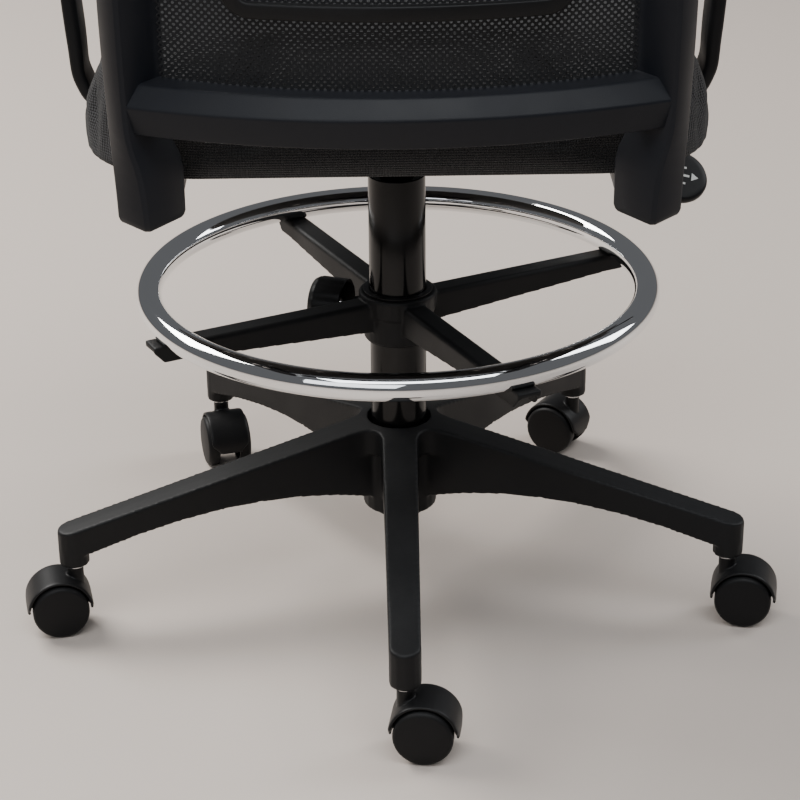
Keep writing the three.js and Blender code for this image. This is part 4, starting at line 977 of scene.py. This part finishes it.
rowCount = int((netTop - netBottom) / netLook["rows"])
halfAcross, halfRow = netLook["across"] / 2, netLook["rows"]
rim = [(halfAcross, 0), (halfAcross / 2, halfRow / 2), (0, halfRow), (-halfAcross / 2, halfRow / 2),
       (-halfAcross, 0), (-halfAcross / 2, -halfRow / 2), (0, -halfRow),
       (halfAcross / 2, -halfRow / 2)]
hole = [(netLook["hole"] * math.cos(a), netLook["hole"] * netLook["squash"] * math.sin(a))
        for a in (math.tau * k / 8 for k in range(8))]
for row in range(rowCount + 1):
    z = netBottom + row * netLook["rows"]
    half = netHalf(z)
    shift = halfAcross if row % 2 else 0.0
    columns = int(half / netLook["across"]) + 1
    for column in range(-columns, columns + 1):
        x = column * netLook["across"] + shift
        if abs(x) > half - halfAcross:
            continue
        outer = [netPoint(x + dx, z + dz) for dx, dz in rim]
        inner = [netPoint(x + dx, z + dz, netLook["sink"]) for dx, dz in hole]
        for k in range(8):
            n = (k + 1) % 8
            faces.append((outer[k], outer[n], inner[n], inner[k]))
mesh = bpy.data.meshes.new("backNet")
mesh.from_pydata(points, [], faces)
mesh.shade_smooth()
net = piece("backNet", mesh, "seat", netFabric, "back_mesh")
print("stage: net", len(faces))

# lumbar support
lumbarLook = {"band": 12 * mm, "thick": 8 * mm, "corner": 22 * mm, "halfWide": 128 * mm,
              "gap": 6.4 * mm}
lumbarLow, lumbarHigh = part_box("lumbar_support")
lumbarZ = (lumbarLow.z + lumbarHigh.z) / 2
lumbarHalf = (lumbarHigh.z - lumbarLow.z) / 2


def dense(loop, longest):
    made = []
    for i, (x, z) in enumerate(loop):
        nx, nz = loop[(i + 1) % len(loop)]
        steps = max(1, round(math.hypot(nx - x, nz - z) / longest))
        made += [(mix(x, nx, k / steps), mix(z, nz, k / steps)) for k in range(steps)]
    return made


halfBand = lumbarLook["band"] / 2
middleLine = dense(roundedBox(lumbarLook["halfWide"] - halfBand, lumbarHalf - halfBand,
                              lumbarLook["corner"] - halfBand), 9 * mm)
bandSection = softCorners([(-halfBand, 0), (halfBand, 0), (halfBand, lumbarLook["thick"]),
                           (-halfBand, lumbarLook["thick"])], 2 * mm, 3)
rings = []
for i, (x, z) in enumerate(middleLine):
    nx, nz = middleLine[(i + 1) % len(middleLine)]
    px, pz = middleLine[i - 1]
    along = Vector((nx - px, nz - pz)).normalized()
    aside = Vector((along.y, -along.x))
    ring = []
    for across, depth in bandSection:
        bx, bz = x + aside.x * across, z + aside.y * across
        ring.append((bx, netY(bx, lumbarZ + bz) - lumbarLook["gap"] - depth, lumbarZ + bz))
    rings.append(ring)
bm = bmesh.new()
addLoft(bm, rings, isLoop=True)
tongue = softCorners([(-9 * mm, 1.2 * mm), (9 * mm, 1.2 * mm), (9 * mm, 6.8 * mm),
                      (-9 * mm, 6.8 * mm)], 1.5 * mm, 3)
for side in (1, -1):
    rings = []
    for k in range(13):
        x = side * mix(lumbarLook["halfWide"] - 8 * mm, lumbarHigh.x, k / 12)
        rings.append([(x, netY(x, lumbarZ + z) - lumbarLook["gap"] - depth, lumbarZ + z)
                      for z, depth in tongue])
    addLoft(bm, rings)
piece("lumbarSupport", tidyMesh(bm, "lumbarSupport", 50), "lumbar", partPlastic,
      "lumbar_support")
print("stage: lumbar")

# arms
armLook = {"wide": 46 * mm, "thick": 13 * mm, "clear": 2 * mm, "y": 30 * mm, "lean": 14 * mm,
           "padHalf": 38 * mm, "padLong": 125 * mm, "padShift": 45 * mm}
padLow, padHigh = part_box("arm_pad_right")
postX = seatHalf + armLook["clear"] + armLook["thick"] / 2
bracketZ = panLow.z - 0.3 * mm - armLook["thick"] * 0.4
padBottom = padLow.z
bend = smoothPath([
    (seatHalf * 0.5, 0, bracketZ), (seatHalf * 0.75, 0, bracketZ),
    (seatHalf - 12 * mm, 0, bracketZ - 1 * mm), (postX - 3 * mm, 0, bracketZ + 18 * mm),
    (postX + 1 * mm, 0, bracketZ + 52 * mm), (postX + 6 * mm, 0, mix(bracketZ, padBottom, 0.5)),
    (postX + 4 * mm, 0, padBottom - 7 * mm)], 8)
for side, label in ((1, "Right"), (-1, "Left")):
    rings = []
    for i, point in enumerate(bend):
        along = (bend[min(i + 1, len(bend) - 1)] - bend[max(i - 1, 0)]).normalized()
        rise = min(1, max(0, (point.z - bracketZ) / (60 * mm)))
        half = mix(armLook["thick"] * 0.4, armLook["thick"] / 2, rise)
        lean = armLook["y"] + armLook["lean"] * (point.z - bracketZ) / (padBottom - bracketZ)
        ring = []
        for across, y in softCorners([(half, -armLook["wide"] / 2), (half, armLook["wide"] / 2),
                                      (-half, armLook["wide"] / 2), (-half, -armLook["wide"] / 2)],
                                     5 * mm, 4):
            ring.append((side * (point.x + along.z * across), lean + y,
                         point.z - along.x * across))
        rings.append(ring)
    bm = bmesh.new()
    addLoft(bm, rings)
    yoke = [(side * (postX + 4 * mm) + x, armLook["y"] + armLook["padShift"] * 0.6 + y)
            for x, y in roundedBox(22 * mm, 72 * mm, 10 * mm)]
    yokeMiddle = Vector((side * (postX + 4 * mm), armLook["y"] + armLook["padShift"] * 0.6))
    rings = []
    for z, share in ((padBottom - 9 * mm, 0.93), (padBottom - 8 * mm, 0.98),
                     (padBottom - 6 * mm, 1.0), (padBottom - 0.4 * mm, 1.0)):
        ring = [yokeMiddle + (Vector(p) - yokeMiddle) * share for p in yoke]
        rings.append([(p.x, p.y, z) for p in ring])
    addLoft(bm, rings)
    piece(f"armPost{label}", tidyMesh(bm, f"armPost{label}", 50), "seat",
          partPlastic, f"arm_post_{label.lower()}")
    centre = Vector((side * (postX + 2 * mm), armLook["y"] + armLook["padShift"]))
    padTall = padHigh.z - padLow.z
    rings = []
    for t, inset in ((0, 9), (0.02, 6), (0.1, 3), (0.25, 0.6), (0.5, 0), (0.68, 0.6), (0.82, 2.6),
                     (0.92, 6), (0.97, 10), (0.995, 17), (1, 25)):
        ring = roundedBox(armLook["padHalf"] - inset * mm, armLook["padLong"] - inset * mm,
                          max(4, 30 - inset) * mm, 9)
        rings.append([(centre.x + x, centre.y + y,
                       padLow.z + padTall * t - 0.35 * mm * (y / armLook["padLong"]) ** 2)
                      for x, y in ring])
    piece(f"armPad{label}", loftMesh(f"armPad{label}", rings, 50), "seat",
          padPlastic, f"arm_pad_{label.lower()}")
    for k in range(2):
        name = f"armBolt{label}{k + 1}"
        mesh = boltMesh(name, 8 * mm, 5.5 * mm, 5 * mm,
                        (side * (seatHalf * 0.5 + (18 + 30 * k) * mm), armLook["y"],
                         bracketZ - armLook["thick"] * 0.4))
        piece(name, mesh, "seat", steel)
print("stage: arms")

# floor, light and camera
stageLook = {
    "floorColour": (0.58, 0.51, 0.455), "floorHalf": 9.0, "floorShine": 0.55,
    "skyColour": (0.93, 0.95, 1.0), "sky": 0.13,
    "lights": (  # name, place, height aimed at, size, power, colour
        ("keyLight", (-2.3, 1.6, 3.0), 0.3, (2.4, 2.0), 215, (1.0, 0.98, 0.95)),
        ("fillLight", (-1.2, -3.2, 2.2), 0.4, (2.6, 1.8), 34, (0.93, 0.96, 1.0)),
        ("rimLight", (2.8, 1.0, 2.4), 0.5, (1.2, 2.4), 52, (0.97, 0.98, 1.0)),
        ("topLight", (0.2, -1.4, 3.1), 0.5, (3.2, 1.5), 72, (0.94, 0.97, 1.0)))}
floorMesh = bpy.data.meshes.new("floor")
half = stageLook["floorHalf"]
floorMesh.from_pydata([(-half, -half, 0), (half, -half, 0), (half, half, 0), (-half, half, 0)], [],
                      [(0, 1, 2, 3)])
floor = bpy.data.objects.new("floor", floorMesh)
scene.collection.objects.link(floor)
floorMaterial, tree, shader = newMaterial("floorPaint")
feed(tree, shader, {"Base Color": (*stageLook["floorColour"], 1),
                    "Roughness": stageLook["floorShine"]})
floorMesh.materials.append(floorMaterial)
for name, place, aimHeight, size, power, colour in stageLook["lights"]:
    data = bpy.data.lights.new(name, "AREA")
    data.shape = "RECTANGLE"
    data.size, data.size_y = size
    data.energy = power
    data.color = colour
    light = bpy.data.objects.new(name, data)
    light.location = place
    light.rotation_mode = "QUATERNION"
    aim = Vector((0, 0, aimHeight)) - Vector(place)
    light.rotation_quaternion = aim.to_track_quat("-Z", "Y")
    scene.collection.objects.link(light)
world = bpy.data.worlds.new("studio")
scene.world = world
world.use_nodes = True
sky = world.node_tree.nodes["Background"].inputs
sky["Color"].default_value = (*stageLook["skyColour"], 1)
sky["Strength"].default_value = stageLook["sky"]

cameraLook = {"place": (-0.0176, -1.9113, 1.070), "yaw": 0.557, "pitch": 25.13, "roll": -0.594,
              "lens": 105.3, "sensor": 36.0}
yaw, pitch, roll = (math.radians(cameraLook[k]) for k in ("yaw", "pitch", "roll"))
forward = Vector((math.sin(yaw) * math.cos(pitch), math.cos(yaw) * math.cos(pitch),
                  -math.sin(pitch)))
flatRight = Vector((math.cos(yaw), -math.sin(yaw), 0))
flatUp = flatRight.cross(forward)
right = flatRight * math.cos(roll) + flatUp * math.sin(roll)
up = flatUp * math.cos(roll) - flatRight * math.sin(roll)
cameraData = bpy.data.cameras.new("camera")
cameraData.lens = cameraLook["lens"]
cameraData.sensor_width = cameraLook["sensor"]
camera = bpy.data.objects.new("camera", cameraData)
scene.collection.objects.link(camera)
turned = Matrix((right, up, -forward)).transposed().to_4x4()
turned.translation = Vector(cameraLook["place"])
camera.matrix_world = turned
scene.camera = camera

print("stage: done")
